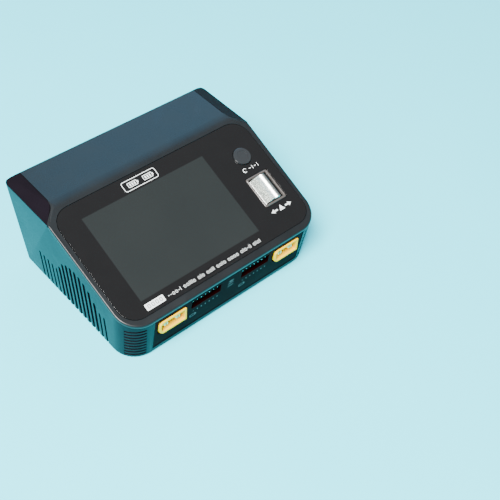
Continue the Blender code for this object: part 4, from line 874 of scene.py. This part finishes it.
# %% A rubber foot
foot_low, foot_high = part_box("rubber_foot_1")
foot_radius = (foot_high.x - foot_low.x) / 2
foot_tall = foot_high.z - foot_low.z
bpy.ops.mesh.primitive_cylinder_add(vertices=48, radius=foot_radius, depth=foot_tall,
                                    location=(0, 0, foot_tall / 2))
foot = settle(named("foot_pattern"))


def facing_down(place, direction):
    return direction.z < -0.9


edit(foot, "FACE", facing_down, bpy.ops.mesh.inset, thickness=1.2 * MM)
edit(foot, "FACE", lambda place, direction: direction.z < -0.9 and place.xy.length < 0.1 * MM,
     bpy.ops.mesh.inset, thickness=0.35 * MM, depth=-0.25 * MM)
edit(foot, "FACE", lambda place, direction: direction.z < -0.9 and place.xy.length < 0.1 * MM,
     bpy.ops.mesh.inset, thickness=0.35 * MM, depth=0.25 * MM)
modify(foot, "BEVEL", width=0.25 * MM, segments=3, limit_method="ANGLE", angle_limit=math.radians(60))
for i in range(1, 5):
    low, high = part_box(f"rubber_foot_{i}")
    only(foot)
    bpy.ops.object.duplicate()
    copy = named(f"foot_{i}")
    copy.location = ((low.x + high.x) / 2, (low.y + high.y) / 2, low.z)
    settle(copy)
    hand_over(copy, RUBBER, "charger", [f"rubber_foot_{i}"], 30)
bpy.data.objects.remove(foot)

# %% [markdown]
# A screw head is turned, then the cross is driven into it: a small cross of two blocks is cut out
# with a Boolean modifier, the plain way to sink one shape into another.

# %% A case screw
screw_low, screw_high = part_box("case_screw_1")
head_radius = (screw_high.x - screw_low.x) / 2
screw_long = screw_high.z - screw_low.z
bpy.ops.mesh.primitive_cylinder_add(vertices=32, radius=head_radius, depth=1.8 * MM,
                                    location=(0, 0, 0.9 * MM))
screw = settle(named("screw_pattern"))
edit(screw, "FACE", facing_up, bpy.ops.mesh.inset, thickness=head_radius - 1.25 * MM)
edit(screw, "FACE", lambda place, direction: direction.z > 0.9 and place.xy.length < 0.1 * MM,
     bpy.ops.mesh.extrude_region_move, TRANSFORM_OT_translate={"value": (0, 0, screw_long - 2.6 * MM)})
edit(screw, "FACE", lambda place, direction: direction.z > 0.9 and place.xy.length < 0.1 * MM,
     bpy.ops.mesh.inset, thickness=0.5 * MM, depth=0.8 * MM)
modify(screw, "BEVEL", width=0.3 * MM, segments=3, limit_method="ANGLE", angle_limit=math.radians(80))
crosses = []
for turn in (0, 90):
    bpy.ops.mesh.primitive_cube_add(size=1, location=(0, 0, 0.3 * MM), rotation=(0, 0, math.radians(turn)))
    blade = named("blade")
    blade.scale = (2.7 * MM, 0.55 * MM, 1.8 * MM)
    settle(blade)
    edit(blade, "FACE", facing_up, bpy.ops.transform.resize, value=(0.45, 0.8, 1),
         center_override=(0, 0, 1.2 * MM))
    crosses.append(blade)
for blade in crosses:
    modify(screw, "BOOLEAN", object=blade, operation="DIFFERENCE", solver="EXACT")
    bpy.data.objects.remove(blade)
for i in range(1, 5):
    low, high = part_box(f"case_screw_{i}")
    only(screw)
    bpy.ops.object.duplicate()
    copy = named(f"cross_screw_{i}")
    copy.location = ((low.x + high.x) / 2, (low.y + high.y) / 2, low.z)
    settle(copy)
    hand_over(copy, ZINC, "charger", [f"case_screw_{i}"], 30)
bpy.data.objects.remove(screw)

# %% [markdown]
# ## Floor, light and camera
#
# The charger stands on a pale blue sheet. The main light is a soft box above the front left corner. A
# weak blue light from the left and a wider blue one from behind colour the walls and the flat top,
# as a blue backdrop would, and the pale sky fills the shadows. The camera looks down on the front
# left corner, turned a little about its own line of sight.

# %% The sheet it stands on
bpy.ops.mesh.primitive_plane_add(size=6, location=(0, 0, 0))
sheet = named("studio_sheet")
mat, where = open_material("pale_blue_paper")
fibre = where.noise(0.6 * MM, 5.0)
cloud = where.noise(120 * MM, 2.0)
shade = (cloud * 0.7 + fibre * 0.3).mix((0.030, 0.740, 0.900), (0.060, 0.800, 0.940))
PAPER = close_material(mat, where, [(fibre, 0.01 * MM)],
                       {"Base Color": shade, "Roughness": fibre * 0.1 + 0.75})
sheet.data.materials.append(PAPER)
sheet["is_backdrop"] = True

# %% Sky
world = bpy.data.worlds.new("studio_sky")
bpy.context.scene.world = world
world.use_nodes = True
sky = world.node_tree.nodes["Background"]
sky.inputs["Color"].default_value = (0.80, 0.92, 1.0, 1)
sky.inputs["Strength"].default_value = 0.42


# %% Lights
def soft_light(name, spot, aim, size, power, tint):
    lamp = bpy.data.lights.new(name, "AREA")
    lamp.shape = "RECTANGLE"
    lamp.size, lamp.size_y = size
    lamp.energy = power
    lamp.color = tint
    holder = bpy.data.objects.new(name, lamp)
    holder.location = spot
    holder.rotation_euler = (Vector(spot) - Vector(aim)).to_track_quat("Z", "Y").to_euler()
    bpy.context.scene.collection.objects.link(holder)
    return holder


soft_light("window_left", (-1.2, 0.45, 0.55), (0, 0, 0.02), (1.2, 0.7), 3.5, (0.20, 0.62, 1.0))
soft_light("blue_backdrop", (1.0, 1.1, 1.5), (0, 0, 0.05), (1.3, 1.3), 12, (0.12, 0.58, 1.0))
soft_light("softbox_front", (-0.85, -0.45, 1.45), (0, 0, 0.02), (0.8, 0.8), 150, (1.0, 1.0, 0.98))

# %% Camera
turn, height, roll = math.radians(-45.252), math.radians(47.173), math.radians(5.115)
back = Vector((math.sin(turn) * math.cos(height), -math.cos(turn) * math.cos(height), math.sin(height)))
level = Vector((math.cos(turn), math.sin(turn), 0))
rise = back.cross(level)
right = level * math.cos(roll) + rise * math.sin(roll)
up = rise * math.cos(roll) - level * math.sin(roll)
camera = bpy.data.objects.new("camera", bpy.data.cameras.new("camera"))
bpy.context.scene.collection.objects.link(camera)
camera.matrix_world = Matrix((right, up, back)).transposed().to_4x4()
camera.location = (-0.19806, -0.25675, 0.35517)
camera.data.lens = 64.57
camera.data.sensor_width = 36.0
camera.data.clip_start = 0.01
bpy.context.scene.camera = camera
print("camera distance in mm:", round(camera.location.length / MM))

# %% [markdown]
# ## Last measures
#
# The looks must not change the size.

# %% Compare the two boxes
new_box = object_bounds()
growth = (new_box[1] - new_box[0]) - (cad_box[1] - cad_box[0])
print("grown by in mm:", [round(v / MM, 2) for v in growth])
